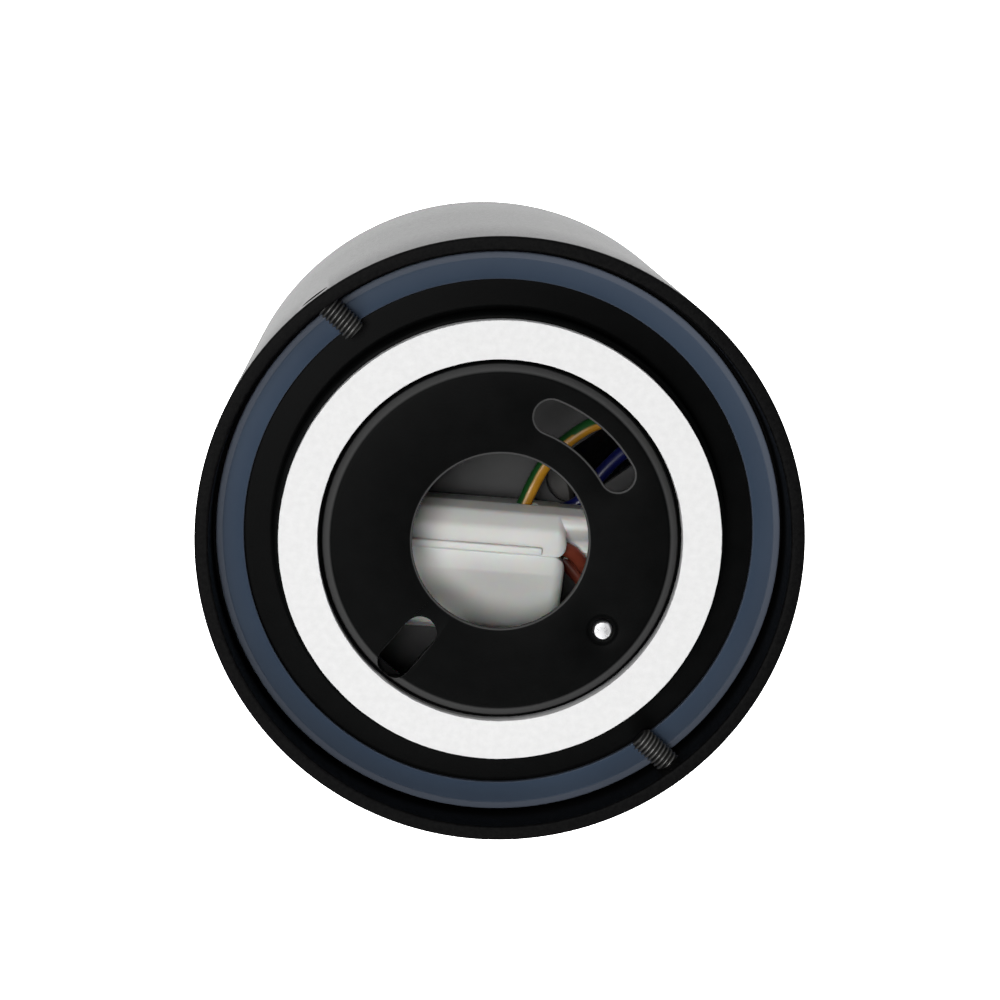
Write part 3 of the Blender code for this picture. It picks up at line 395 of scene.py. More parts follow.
def carve(obj, tools, operation="DIFFERENCE", sharp=32.0):
    """Cuts or joins the tools, applies the result and removes them."""
    for tool in tools:
        modifier = obj.modifiers.new("carve", "BOOLEAN")
        modifier.operation = operation
        modifier.solver = "EXACT"
        modifier.object = tool
    graph = bpy.context.evaluated_depsgraph_get()
    mesh = bpy.data.meshes.new_from_object(obj.evaluated_get(graph))
    obj.modifiers.clear()
    obj.data = mesh
    for tool in tools:
        bpy.data.objects.remove(tool, do_unlink=True)
    mesh.shade_smooth()
    mesh.set_sharp_from_angle(angle=math.radians(sharp))


def wear(obj, body, mat, slot, *replaced):
    """Gives a piece its body and material, and hides the CAD nodes that it stands for; slot is not used."""
    obj.data.materials.clear()
    obj.data.materials.append(MATS[mat])
    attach(obj, body)
    if replaced:
        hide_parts(*replaced)


def arc(radius, start, end, steps, centre=(0.0, 0.0)):
    points = []
    for i in range(steps + 1):
        at = polar(radius, start + (end - start) * i / steps)
        points.append((centre[0] + at.x, centre[1] + at.y))
    return points


def circle_hole(at, radius, steps=48):
    return lambda off: arc(radius + off, 0, 360, steps, at)[:-1]


def arc_hole(radius, start, end, half_width, steps=24):
    """A slot with round ends that follows a circle, as a contour for each offset."""
    first, last = polar(radius, start), polar(radius, end)

    def contour(off):
        w = half_width + off
        points = arc(radius + w, start, end, steps)
        points += arc(w, end, end + 180, 16, last)[1:-1]
        points += arc(radius - w, end, start, steps)
        points += arc(w, start + 180, start + 360, 16, first)[1:-1]
        return points

    return contour


def straight_hole(start, end, half_width):
    across = math.degrees(math.atan2(end.y - start.y, end.x - start.x))

    def contour(off):
        w = half_width + off
        return arc(w, across - 90, across + 90, 18, end) + arc(w, across + 90, across + 270, 18, start)

    return contour


def inside(point, polygon):
    x, y = point
    hit = False
    for (x0, y0), (x1, y1) in zip(polygon, polygon[1:] + polygon[:1]):
        if (y0 > y) != (y1 > y) and x < (x1 - x0) * (y - y0) / (y1 - y0) + x0:
            hit = not hit
    return hit


def flat_region(bm, outer, holes, z):
    """Fills the space between an outline and the holes in it."""
    points, edges = [], []
    for loop in (outer, *holes):
        first = len(points)
        points += [Vector(p) for p in loop]
        edges += [(first + i, first + (i + 1) % len(loop)) for i in range(len(loop))]
    made, _, faces, *_ = geometry.delaunay_2d_cdt(points, edges, [], 0, 1e-9)
    verts = [bm.verts.new((p.x, p.y, z)) for p in made]
    for face in faces:
        middle = sum((made[i] for i in face), Vector((0, 0))) / len(face)
        if inside(middle, outer) and not any(inside(middle, h) for h in holes):
            bm.faces.new([verts[i] for i in face])


def hole_band(bm, contour, profile):
    """The rounded lip and wall of one hole, through (offset, z) pairs."""
    rings = [[bm.verts.new((x, y, z)) for x, y in contour(off)] for off, z in profile]
    for a, b in zip(rings, rings[1:]):
        for k in range(len(a)):
            n = (k + 1) % len(a)
            bm.faces.new((a[k], a[n], b[n], b[k]))


def lip(top, bottom, radius, steps=4):
    """A profile with a rounded edge at each face of a sheet."""
    profile = []
    for k in range(steps + 1):
        a = math.radians(90 * k / steps)
        profile.append((radius * (1 - math.sin(a)), top - radius * (1 - math.cos(a))))
    return profile + [(off, bottom + top - z) for off, z in reversed(profile)]


def punched(name, band, outer, low_outer, holes, top, bottom, segments):
    """A sheet with punched holes: a spun outer band and flat faces between it and the holes."""
    bm = bmesh.new()
    spun(bm, band, segments, closed=False)
    for z, radius, end in ((top, outer, 0), (bottom, low_outer, -1)):
        edge = [tuple(polar(radius, 360 * k / segments).xy) for k in range(segments)]
        flat_region(bm, edge, [contour(profile[end][0]) for contour, profile in holes], z)
    for contour, profile in holes:
        hole_band(bm, contour, profile)
    return finish_mesh(name, bm)


def smooth_route(points, spacing):
    """Points read off a Catmull-Rom curve through the given ones."""
    padded = [points[0] * 2 - points[1], *points, points[-1] * 2 - points[-2]]
    route = [points[0]]
    for p0, p1, p2, p3 in zip(padded, padded[1:], padded[2:], padded[3:]):
        steps = max(1, round((p2 - p1).length / spacing))
        for i in range(1, steps + 1):
            t = i / steps
            a, b, c = p2 - p0, 2 * p0 - 5 * p1 + 4 * p2 - p3, 3 * p1 - p0 - 3 * p2 + p3
            route.append(0.5 * (2 * p1 + a * t + b * t * t + c * t * t * t))
    return route


def tube(name, route, radius, sides=24):
    """A round lead or wire along a route; its green attribute marks the stripe of an earth lead."""
    bm = bmesh.new()
    stripe = bm.verts.layers.float.new("green")
    across = (route[1] - route[0]).orthogonal().normalized()
    rings = []
    for i, at in enumerate(route):
        along = (route[min(i + 1, len(route) - 1)] - route[max(i - 1, 0)]).normalized()
        across = (across - along * across.dot(along)).normalized()
        side = along.cross(across)
        ring = []
        for k in range(sides):
            a = 2 * math.pi * k / sides
            out = across * math.cos(a) + side * math.sin(a)
            vert = bm.verts.new(at + out * radius)
            vert[stripe] = 1.0 if out.dot(STRIPE_SIDE) > 0.25 else 0.0
            ring.append(vert)
        rings.append(ring)
    for a, b in zip(rings, rings[1:]):
        for k in range(sides):
            n = (k + 1) % sides
            bm.faces.new((a[k], a[n], b[n], b[k]))
    bm.faces.new(rings[0])
    bm.faces.new(rings[-1])
    return finish_mesh(name, bm, 60.0)


def threaded(name, radius, depth, pitch, length, chamfer, segments=48, end_depth=0.0, end_radius=0.0):
    """A shank along +Z with a real helical thread, and an optional cup in its lower end."""
    bm = bmesh.new()
    crest_highlight = bm.verts.layers.float.new("crest_highlight")
    per_pitch = 12
    rows = round(length / pitch * per_pitch)
    rings = []
    for j in range(rows + 1):
        z = length * j / rows
        limit = min(radius, radius - chamfer + z, radius - chamfer + length - z)
        ring = []
        for k in range(segments):
            phase = (z / pitch - k / segments) % 1.0
            tooth = 1 - abs(2 * phase - 1)
            rise = min(1.0, max(0.0, 1.35 * tooth - 0.12))
            r = min(radius - depth + depth * rise, limit)
            vert = bm.verts.new(polar(r, 360 * k / segments, z))
            # weight of the painted highlight on the thread crest
            vert[crest_highlight] = max(0.0, rise * 1.6 - 0.6)
            ring.append(vert)
        rings.append(ring)
    for a, b in zip(rings, rings[1:]):
        for k in range(segments):
            n = (k + 1) % segments
            bm.faces.new((a[k], a[n], b[n], b[k]))
    bm.faces.new(rings[-1])
    if end_depth:
        mouth = [bm.verts.new(polar(end_radius, 360 * k / segments, 0)) for k in range(segments)]
        tip = bm.verts.new((0, 0, end_depth))
        for k in range(segments):
            n = (k + 1) % segments
            bm.faces.new((rings[0][k], rings[0][n], mouth[n], mouth[k]))
            bm.faces.new((mouth[k], mouth[n], tip))
    else:
        bm.faces.new(rings[0])
    return finish_mesh(name, bm, 50.0)


# ---- housing ------------------------------------------------------------------------------------
def sector(inner, outer, middle, width):
    half = width / 2
    return arc(outer, middle - half, middle + half, 8) + arc(inner, middle + half, middle - half, 8)


def grub_frame(side):
    turn = Matrix.Rotation(math.radians(GRUB_AZIMUTH + 180 * side), 4, "Z")
    return turn @ Matrix.Translation((0, -GRUB_OFFSET, GRUB_Z))


def housing():
    bore, rim_bore, ring_bore = 43.8 * MM, 45.8 * MM, 45.2 * MM
    groove_r = 46.4 * MM
    outline = (
        (HOUSING_R, TOP_Z), (HOUSING_R, 80 * MM), (HOUSING_R, 40 * MM), (HOUSING_R, 0.0), (ring_bore, 0.0),
        (ring_bore, 8 * MM), (groove_r, 8 * MM), (groove_r, 11 * MM), (ring_bore, 11 * MM),
        (ring_bore, 16 * MM), (bore, 16 * MM), (bore, 55 * MM), (bore, 101.8 * MM), (rim_bore, 101.8 * MM),
        (rim_bore, TOP_Z),
    )
    edge = 0.4 * MM
    radii = (edge, 0, 0, edge, edge, 0.1 * MM, 0, 0, 0.1 * MM, 0, 0.2 * MM, 0, 0.2 * MM, 0, edge)
    shell = lathe("housing_shell", rounded(outline, radii), ROUND)
    entries = [
        prism("entry", sector(44.6 * MM, groove_r, azimuth, 21), -MM, 9.5 * MM) for azimuth in (0, 120, 240)
    ]
    holes = []
    for side in (0, 1):
        place = grub_frame(side)
        hole = rod("grub_hole", (0, 0, 0), mm(0, 0, 16), 2.12 * MM)
        mouth = lathe(
            "grub_mouth", ((0, 0), (1.9 * MM, 0), (3.1 * MM, 1.2 * MM), (3.1 * MM, 3 * MM), (0, 3 * MM)), 32
        )
        hole.data.transform(place @ Matrix.Translation(mm(36, 0, 0)) @ LIE_DOWN)
        mouth.data.transform(place @ Matrix.Translation(mm(46.6, 0, 0)) @ LIE_DOWN)
        holes += [hole, mouth]
    carve(shell, entries + holes)
    lugs = []
    for azimuth in BRACKET_SCREW_AZIMUTHS:
        lug = block("lug", mm(35.3, -4.6, 60), mm(44.6, 4.6, 75.8), 0.5 * MM)
        drill = rod("lug_drill", (BRACKET_SCREW_R, 0, 64 * MM), (BRACKET_SCREW_R, 0, 80 * MM), 2.25 * MM)
        carve(lug, [drill])
        lug.data.transform(Matrix.Rotation(math.radians(azimuth), 4, "Z"))
        lugs.append(lug)
    carve(shell, lugs, "UNION")
    wear(shell, "housing", "coat", "black_coat", "housing")


def grub_screws():
    for side in (0, 1):
        screw = threaded(
            f"grub_screw_{side + 1}_threaded", 1.95 * MM, 0.38 * MM, 0.7 * MM, GRUB_LENGTH, 0.55 * MM,
            end_depth=0.55 * MM, end_radius=0.95 * MM,
        )
        hexagon = [tuple(polar(1.15 * MM, 60 * i).xy) for i in range(6)]
        carve(screw, [prism("socket", hexagon, GRUB_LENGTH - 2.5 * MM, GRUB_LENGTH + MM)], sharp=50.0)
        screw.data.transform(grub_frame(side) @ Matrix.Translation((GRUB_TIP, 0, 0)) @ LIE_DOWN)
        wear(screw, f"grub_{side + 1}", "black_steel", "black_steel", f"grub_screw_{side + 1}")


# ---- ceiling base -------------------------------------------------------------------------------
def base_plate():
    top, under = DISC_TOP_Z, DISC_TOP_Z - SHEET
    shoulder = 1.9 * MM
    outer = DISC_R - shoulder
    band = []
    for k in range(9):
        a = math.radians(90 * k / 8)
        band.append((outer + shoulder * math.sin(a), top - shoulder * (1 - math.cos(a))))
    skirt = rounded(
        (
            (DISC_R, SEAT_Z + 0.6 * MM), (DISC_R, SEAT_Z), (SKIRT_R, SEAT_Z), (SKIRT_R, FLANGE_Z),
            (FLANGE_R, FLANGE_Z), (FLANGE_R, FLANGE_Z - SHEET), (SKIRT_R - SHEET, FLANGE_Z - SHEET),
            (SKIRT_R - SHEET, SEAT_Z - SHEET), (DISC_R - SHEET, SEAT_Z - SHEET),
            (DISC_R - SHEET, top - 2.4 * MM),
        ),
        mm(0, 0.3, 0.7, 0.8, 0.3, 0.2, 0.3, 0.3, 0.3, 0),
    )
    low_outer = DISC_R - 2.6 * MM
    band += skirt + [(low_outer, under)]
    edge = lip(top, under, 0.36 * MM)
    dimple = [
        (1.05 * MM, top), (0.90 * MM, top - 0.04 * MM), (0.72 * MM, top - 0.16 * MM),
        (0.55 * MM, top - 0.30 * MM), (0.30 * MM, top - 0.36 * MM), (0.05 * MM, top - 0.36 * MM),
        (0.0, top - 0.45 * MM), (0.0, under),
    ]
    slot_half = 2.65 * MM
    radial = [polar(r * MM, 228.8) for r in (19.35, 25.5)]
    holes = [
        (circle_hole((0, 0), CABLE_HOLE_R, 144), edge),
        (arc_hole(21.2 * MM, 29.4, 68.0, slot_half), edge),
        (circle_hole(tuple(STUD_AT.xy), 1.62 * MM), dimple),
    ]
    plate = punched("ceiling_base_plate", band, outer, low_outer, holes, top, under, ROUND)
    contour = straight_hole(*radial, slot_half)
    carve(plate, [prism("radial_slot", contour(0), under - 2 * MM, top + 2 * MM)])
    soften(plate, radial, slot_half, 0.26 * MM, under)
    paint_edge_highlight(plate, top, outer - 0.2 * MM)
    wear(plate, "ceiling_base", "sheet", "black_sheet", "base_plate")


def paint_edge_highlight(obj, top, reach):
    """Sets the edge attribute: a lighter grey painted as a highlight on the holes' rolled edges, and a weaker
    one on the shoulder beyond reach.
    """
    shade = obj.data.attributes.new("edge", "FLOAT", "POINT")
    for i, vert in enumerate(obj.data.vertices):
        rolled = 0.2 < vert.normal.z < 0.97 and vert.co.z > top - 0.45 * MM
        at_stud = (vert.co.xy - STUD_AT.xy).length < 4 * MM
        if rolled and not at_stud and vert.co.xy.length < reach:
            shade.data[i].value = 1.0
        # weaker painted highlight on the shoulder's outer slope
        elif 0.5 < vert.normal.z < 0.95 and vert.co.z > top - 1.5 * MM and not at_stud:
            shade.data[i].value = 0.75


def soften(obj, ends, half_width, width, floor_z):
    """Rounds the upper edge of a straight slot that was cut into a curved sheet."""
    a, b = (Vector(e.xy) for e in ends)
    along = (b - a).normalized()

    def off_contour(point):
        p = Vector(point.xy)
        t = min((b - a).length, max(0.0, (p - a).dot(along)))
        return abs((p - a - along * t).length - half_width)

    bm = bmesh.new()
    bm.from_mesh(obj.data)
    rim = []
    for edge in bm.edges:
        on_slot = all(off_contour(v.co) < 0.03 * MM and v.co.z > floor_z + 0.1 * MM for v in edge.verts)
        if on_slot and edge.is_manifold and edge.calc_face_angle(0) > math.radians(50):
            rim.append(edge)
    round_off(bm, rim, width)
    bm.to_mesh(obj.data)
    bm.free()
    obj.data.shade_smooth()
    obj.data.set_sharp_from_angle(angle=math.radians(32))


def gasket():
    """Die-cut foam, with slightly uneven cut edges."""
    top, low = 114.3 * MM, 111.2 * MM
    inner, outer = 28.75 * MM, 34.9 * MM
    edge = 0.16 * MM
    flat = [(inner + edge + (outer - inner - 2 * edge) * k / 10, top) for k in range(1, 10)]
    outline = rounded(((inner, low), (inner, top), (outer, top), (outer, low)), (0, edge, edge, 0))
    split = next(i for i, (r, _) in enumerate(outline) if r > (inner + outer) / 2)
    ring = lathe("foam_gasket", outline[:split] + flat + outline[split:], 360)
    for vert in ring.data.vertices:
        at = vert.co
        rough = noise.noise(at * 1400) * 0.035 * MM + noise.noise(at * 300) * 0.03 * MM
        out = Vector((at.x, at.y, 0)).normalized()
        if at.z > top - 0.01 * MM:
            vert.co.z += min(0.0, noise.noise(at * 500) * 0.03 * MM - 0.015 * MM)
        vert.co += out * rough
    wear(ring, "ceiling_base", "foam", "foam", "ceiling_gasket")


def seal():
    """A U-shaped seal that wraps the flange; its outer bead stands a little higher."""
    top, low = 105.9 * MM, 102.1 * MM
    inner, outer = 40.7 * MM, 45.1 * MM
    gap = 0.15 * MM
    outline = (
        (outer, top), (outer, low), (inner, low), (inner, FLANGE_Z - SHEET - gap),
        (FLANGE_R + gap, FLANGE_Z - SHEET - gap), (FLANGE_R + gap, FLANGE_Z + gap),
        (inner, FLANGE_Z + gap), (inner, top - 0.12 * MM), (43.9 * MM, top - 0.12 * MM), (44.1 * MM, top),
    )
    radii = mm(0.35, 0.3, 0.3, 0.1, 0.1, 0.1, 0.1, 0.22, 0.1, 0.1)
    ring = lathe("silicone_seal_ring", rounded(outline, radii, 5), 288)
    shade = ring.data.attributes.new("thick", "FLOAT", "POINT")
    for i, vert in enumerate(ring.data.vertices):
        radius = vert.co.xy.length
        beyond = min(1.0, max(0.0, (radius - 43.8 * MM) / (0.35 * MM)))
        at_lip = min(1.0, max(0.0, (inner + 0.2 * MM - radius) / (0.2 * MM)))
        shade.data[i].value = max(beyond, 0.8 * at_lip)
    wear(ring, "ceiling_base", "silicone", "silicone", "seal_ring")


def earth_stud():
    under = DISC_TOP_Z - SHEET
    proud = 0.8 * MM
    head = lathe(
        "earth_stud_head",
        rounded(
            (
                (0.0, DISC_TOP_Z + proud), (1.3 * MM, DISC_TOP_Z + proud),
                (1.55 * MM, DISC_TOP_Z + proud - 0.3 * MM), (1.55 * MM, under), (0.0, under),
            ),
            mm(0, 0.06, 0.1, 0.1, 0),
        ),
        48,
    )
    head.data.transform(Matrix.Translation(STUD_AT))
    shank = threaded("earth_stud_thread", 1.5 * MM, 0.27 * MM, 0.5 * MM, 6.6 * MM, 0.35 * MM, 40)
    shank.data.transform(Matrix.Translation(STUD_AT + Vector((0, 0, under - 6.7 * MM))))
    wear(head, "ceiling_base", "steel", "steel", "earth_stud")
    wear(shank, "ceiling_base", "steel", "steel")
    washer = lathe(
        "earth_washer",
        rounded(
            ((1.85 * MM, 0.8 * MM), (3.4 * MM, 0.8 * MM), (3.4 * MM, 0.0), (1.85 * MM, 0.0)), 0.1 * MM
        ),
        48,
    )
    washer.data.transform(Matrix.Translation(STUD_AT + Vector((0, 0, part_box("stud_washer")[0].z))))
    wear(washer, "ceiling_base", "steel", "steel", "stud_washer")
    low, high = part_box("stud_nut")
    hexagon = [tuple(polar(3.2 * MM, 60 * i).xy) for i in range(6)]
    nut = prism("earth_nut", hexagon, low.z, high.z, 0.15 * MM)
    carve(nut, [rod("nut_bore", (0, 0, low.z - MM), (0, 0, high.z + MM), 1.6 * MM)])
    nut.data.transform(Matrix.Translation(STUD_AT))
    wear(nut, "ceiling_base", "steel", "steel", "stud_nut")


def ring_terminal(name, node, body, place, hole, top, barrel_z):
    """A crimp ring terminal with a crimped barrel."""
    eye = lathe(
        name,
        rounded(
            ((hole, top), (3.5 * MM, top), (3.5 * MM, top - 0.8 * MM), (hole, top - 0.8 * MM)), 0.12 * MM,
        ),
        48,
    )
    neck = block("neck", (3.0 * MM, -1.6 * MM, top - 0.8 * MM), (6.4 * MM, 1.6 * MM, top), 0.1 * MM)
    barrel = lathe(
        "barrel",
        rounded(
            (
                (1.45 * MM, 0.0), (2.05 * MM, 0.0), (2.05 * MM, 1.4 * MM), (1.8 * MM, 2.1 * MM),
                (1.8 * MM, 3.3 * MM), (2.05 * MM, 4.0 * MM), (2.05 * MM, 5.0 * MM), (1.45 * MM, 5.0 * MM),
            ),
            0.15 * MM,
        ),
        32,
    )
    barrel.data.transform(Matrix.Translation((5.6 * MM, 0, barrel_z)) @ LIE_DOWN)
    carve(eye, [neck, barrel], "UNION")
    eye.data.transform(place)
    wear(eye, body, "steel", "steel", node)


# ---- lampholder bracket -------------------------------------------------------------------------
def bracket():
    low, top = BRACKET_LOW_Z, BRACKET_TOP_Z
    outer = 43.2 * MM
    rim = 0.22 * MM
    edge = lip(top, low, rim, 3)
    band = [(outer - off, z) for off, z in edge]
    holes = [(circle_hole((0, GROMMET_Y), 5.4 * MM, 48), edge)]
    holes += [
        (circle_hole(tuple(polar(BRACKET_SCREW_R, a).xy), 2.3 * MM, 32), edge) for a in BRACKET_SCREW_AZIMUTHS
    ]
    holes += [
        (circle_hole(tuple(polar(HOLDER_SCREW_R, a).xy), 1.6 * MM, 32), edge) for a in HOLDER_SCREW_AZIMUTHS
    ]
    holes += [(circle_hole(tuple(polar(EARTH_SCREW_R, EARTH_SCREW_AZIMUTH).xy), 2.3 * MM, 32), edge)]
    ends = Vector((13.0, 4.9, 0)) * MM, Vector((26.5, 14.2, 0)) * MM
    holes.append((straight_hole(*ends, 4.0 * MM), edge))
    plate = punched("lampholder_bracket", band, outer - rim, outer - rim, holes, top, low, 180)
    wear(plate, "housing", "zinc", "zinc_sheet", "lamp_bracket")


def pan_screw(name, node, at, shank_r, head_r, head_h, seat_z, length):
    """A cross-recessed pan head on a threaded shank."""
    head = lathe(
        f"{name}_head",
        rounded(
            (
                (0.0, head_h), (0.5 * head_r, head_h), (0.9 * head_r, 0.78 * head_h),
                (head_r, 0.4 * head_h), (head_r, 0.0), (0.0, 0.0),
            ),
            mm(0, 0.6, 0.4, 0.3, 0.08, 0),
        ),
        40,
    )
    reach, half = 0.6 * head_r, 0.3 * MM
    blades = [
        block("blade", (-reach, -half, 0.4 * head_h), (reach, half, 2 * head_h), 0.08 * MM),
        block("blade", (-half, -reach, 0.4 * head_h), (half, reach, 2 * head_h), 0.08 * MM),
    ]
    carve(head, blades)
    head.data.transform(Matrix.Translation((at[0], at[1], seat_z)))
    shank = threaded(f"{name}_thread", shank_r, 0.16 * shank_r, 0.35 * shank_r, length, 0.3 * MM, 32)
    shank.data.transform(Matrix.Translation((at[0], at[1], seat_z - length)))
    wear(head, "housing", "steel", "steel", node)
    wear(shank, "housing", "steel", "steel")


def fasteners():
    seat = BRACKET_TOP_Z + 0.3 * MM
    for i, azimuth in enumerate(BRACKET_SCREW_AZIMUTHS, 1):
        pan_screw(
            f"bracket_screw_{i}", f"bracket_screw_{i}", polar(BRACKET_SCREW_R, azimuth), 2 * MM, 3.6 * MM,
            2.6 * MM, seat, 11 * MM,
        )
    for i, azimuth in enumerate(HOLDER_SCREW_AZIMUTHS, 1):
        at = polar(HOLDER_SCREW_R, azimuth)
        pan_screw(
            f"holder_screw_{i}", f"lampholder_screw_{i}", at, 1.25 * MM, 2.3 * MM, 1.8 * MM, seat, 13 * MM,
        )
    earth_at = polar(EARTH_SCREW_R, EARTH_SCREW_AZIMUTH)
    pan_screw(
        "earth_screw", "bracket_earth_screw", earth_at, 2 * MM, 3.5 * MM, 2.4 * MM, seat + 1.1 * MM,
        7 * MM,
    )
    eye_top = seat + 0.8 * MM
    place = Matrix.Translation(earth_at) @ Matrix.Rotation(math.radians(-80), 4, "Z")
    ring_terminal(
        "bracket_terminal", "bracket_ring_terminal", "housing", place, 2.3 * MM, eye_top,
        eye_top + 1.5 * MM,
    )
    place = Matrix.Translation(STUD_AT) @ Matrix.Rotation(math.radians(50), 4, "Z")
    stud_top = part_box("stud_washer")[0].z - 0.3 * MM
    ring_terminal(
        "stud_terminal", "stud_ring_terminal", "ceiling_base", place, 1.85 * MM, stud_top,
        stud_top - 1.4 * MM,
    )
    low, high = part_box("lead_grommet")
    middle = (BRACKET_LOW_Z - 0.3 * MM, BRACKET_TOP_Z + 0.3 * MM)
    outline = (
        (4.8 * MM, high.z), (6.1 * MM, high.z), (6.1 * MM, middle[1]), (5.1 * MM, middle[1]),
        (5.1 * MM, middle[0]), (6.1 * MM, middle[0]), (6.1 * MM, low.z), (4.8 * MM, low.z),
    )
    radii = mm(0.45, 0.4, 0.1, 0, 0, 0.1, 0.4, 0.4)
    grommet = lathe("grommet", rounded(outline, radii), 64)
    grommet.data.transform(Matrix.Translation((0, GROMMET_Y, 0)))
    wear(grommet, "housing", "rubber", "rubber", "lead_grommet")


# ---- lampholder and lamp ------------------------------------------------------------------------
def lampholder():
    bevel = 0.8 * MM
    face = lathe(
        "holder_face",
        rounded(
            (
                (0, HOLDER_Z), (HOLDER_R - bevel, HOLDER_Z), (HOLDER_R, HOLDER_Z + bevel),
                (HOLDER_R, HOLDER_SPLIT_Z), (0, HOLDER_SPLIT_Z),
            ),
            mm(0, 0.3, 0.3, 0.15, 0),
        ),
        96,
    )
    cap = lathe(
        "holder_cap",
        rounded(
            (
                (0, HOLDER_SPLIT_Z + 0.2 * MM), (HOLDER_R, HOLDER_SPLIT_Z + 0.2 * MM),
                (HOLDER_R, HOLDER_TOP_Z - bevel), (HOLDER_R - bevel, HOLDER_TOP_Z), (0, HOLDER_TOP_Z),
            ),
            mm(0, 0.15, 0.3, 0.3, 0),
        ),
        96,
    )
    neck = HOLDER_Z + 3.8 * MM
    face_tools, cap_tools = [], []
    for side in (0, 180):
        narrow = arc_hole(PIN_R, side, side + 22, 1.95 * MM, 8)(0)
        wide = arc_hole(PIN_R, side, side + 22, 2.85 * MM, 8)(0)
        centre = polar(PIN_R, side + 22)
        face_tools += [
            prism("slot", narrow, HOLDER_Z - MM, neck + 0.5 * MM),
            prism("slot", wide, neck, HOLDER_SPLIT_Z + MM),
            rod(
                "entry", centre + Vector((0, 0, HOLDER_Z - MM)), centre + Vector((0, 0, neck + 0.5 * MM)),
                2.85 * MM,
            ),
        ]
        x, y = 3.2 * MM * (1 if side else -1), -2.8 * MM
        cap_tools.append(rod("exit", (x, y, 70 * MM), (x, y, 76 * MM), 1.6 * MM))
    for azimuth in HOLDER_SCREW_AZIMUTHS:
        for tools in (face_tools, cap_tools):
            drill = [polar(HOLDER_SCREW_R, azimuth, z * MM) for z in (63, 76)]
            tools.append(rod("hole", *drill, 1.55 * MM))
    cap_tools.append(block("cavity", mm(-8.3, -3.6, 66), mm(8.3, 3.6, 71)))
    carve(face, face_tools)
    carve(cap, cap_tools)
    wear(face, "housing", "phenolic", "phenolic", "lampholder_face")
    wear(cap, "housing", "phenolic", "phenolic", "lampholder_cap")


def lamp():
    """A reflector lamp with a ribbed shell and a lens with small cells."""
    front = LAMP_FRONT_Z
    outline = (
        (0.0, 35.0), (12.6, 35.0), (13.4, 30.0), (17.0, 23.0), (22.6, 11.0), (25.0, 3.0), (25.0, 0.0),
        (24.0, 0.0), (24.0, 3.0), (21.2, 11.0), (14.5, 22.0), (10.0, 27.0), (0.0, 27.0),
    )
    radii = [0, 0.5, 3, 3, 4, 1.0, 0.3, 0.3, 0.5, 3, 3, 2, 0]
    points = rounded([(r * MM, front + z * MM) for r, z in outline], [r * MM for r in radii], 5)
    shell = lathe("lamp_shell", points, 192)
    for vert in shell.data.vertices:
        depth = vert.co.z - front
        outside = vert.co.xy.length > 24.2 * MM - 0.42 * depth
        if outside and 4 * MM < depth < 33 * MM:
            angle = math.atan2(vert.co.y, vert.co.x)
            groove = max(0.0, math.cos(angle * 24)) ** 2 * 0.45 * MM
            vert.co.xy -= vert.co.xy.normalized() * groove
    # the shell's near-black colour is painted shade
    wear(shell, "lamp", "painted_shade_lamp", "lamp_graphite", "lamp_body")
    rings = [(23.6 * MM * k / 48, 0.0) for k in range(49)]
    top = [(r, front + 2.4 * MM) for r, _ in reversed(rings)]
    low = []
    for r, _ in rings:
        wave = 0.18 * MM * math.cos(r / (1.5 * MM) * math.pi * 2)
        low.append((r, front + 0.5 * MM + (wave if r < 21 * MM else 0.0)))
    lens = lathe("lamp_lens_cells", low + top, 144, 60.0)
    for vert in lens.data.vertices:
        if vert.co.z < front + MM and vert.co.xy.length < 21 * MM:
            vert.co.z += 0.14 * MM * math.cos(math.atan2(vert.co.y, vert.co.x) * 24)
    wear(lens, "lamp", "diffuser", "diffuser", "lamp_lens")
    low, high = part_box("lamp_base")
    base = lathe(
        "lamp_neck",
        rounded(
            (
                (0, high.z), (10.4 * MM, high.z), (11.6 * MM, high.z - 1.6 * MM), (12.4 * MM, low.z),
                (0, low.z),
            ),
            mm(0, 0.6, 0.6, 0.3, 0),
        ),
        96,
    )
    wear(base, "lamp", "painted_shade_lamp", "lamp_graphite", "lamp_base")
    low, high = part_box("lamp_pin_1")
    for i, side in enumerate((-1, 1), 1):
        outline = (
            (0, high.z), (2.0, high.z), (2.5, high.z), (2.5, 63.3 * MM), (1.6, 63.3 * MM), (1.6, low.z),
            (0, low.z),
        )
        outline = [(r * MM, z) for r, z in outline]
        pin = lathe(f"pin_{i}", rounded(outline, mm(0, 0, 0.4, 0.15, 0, 0.1, 0)), 48)
        pin.data.transform(Matrix.Translation((side * PIN_R, 0, 0)))
        wear(pin, "lamp", "steel", "steel", f"lamp_pin_{i}")


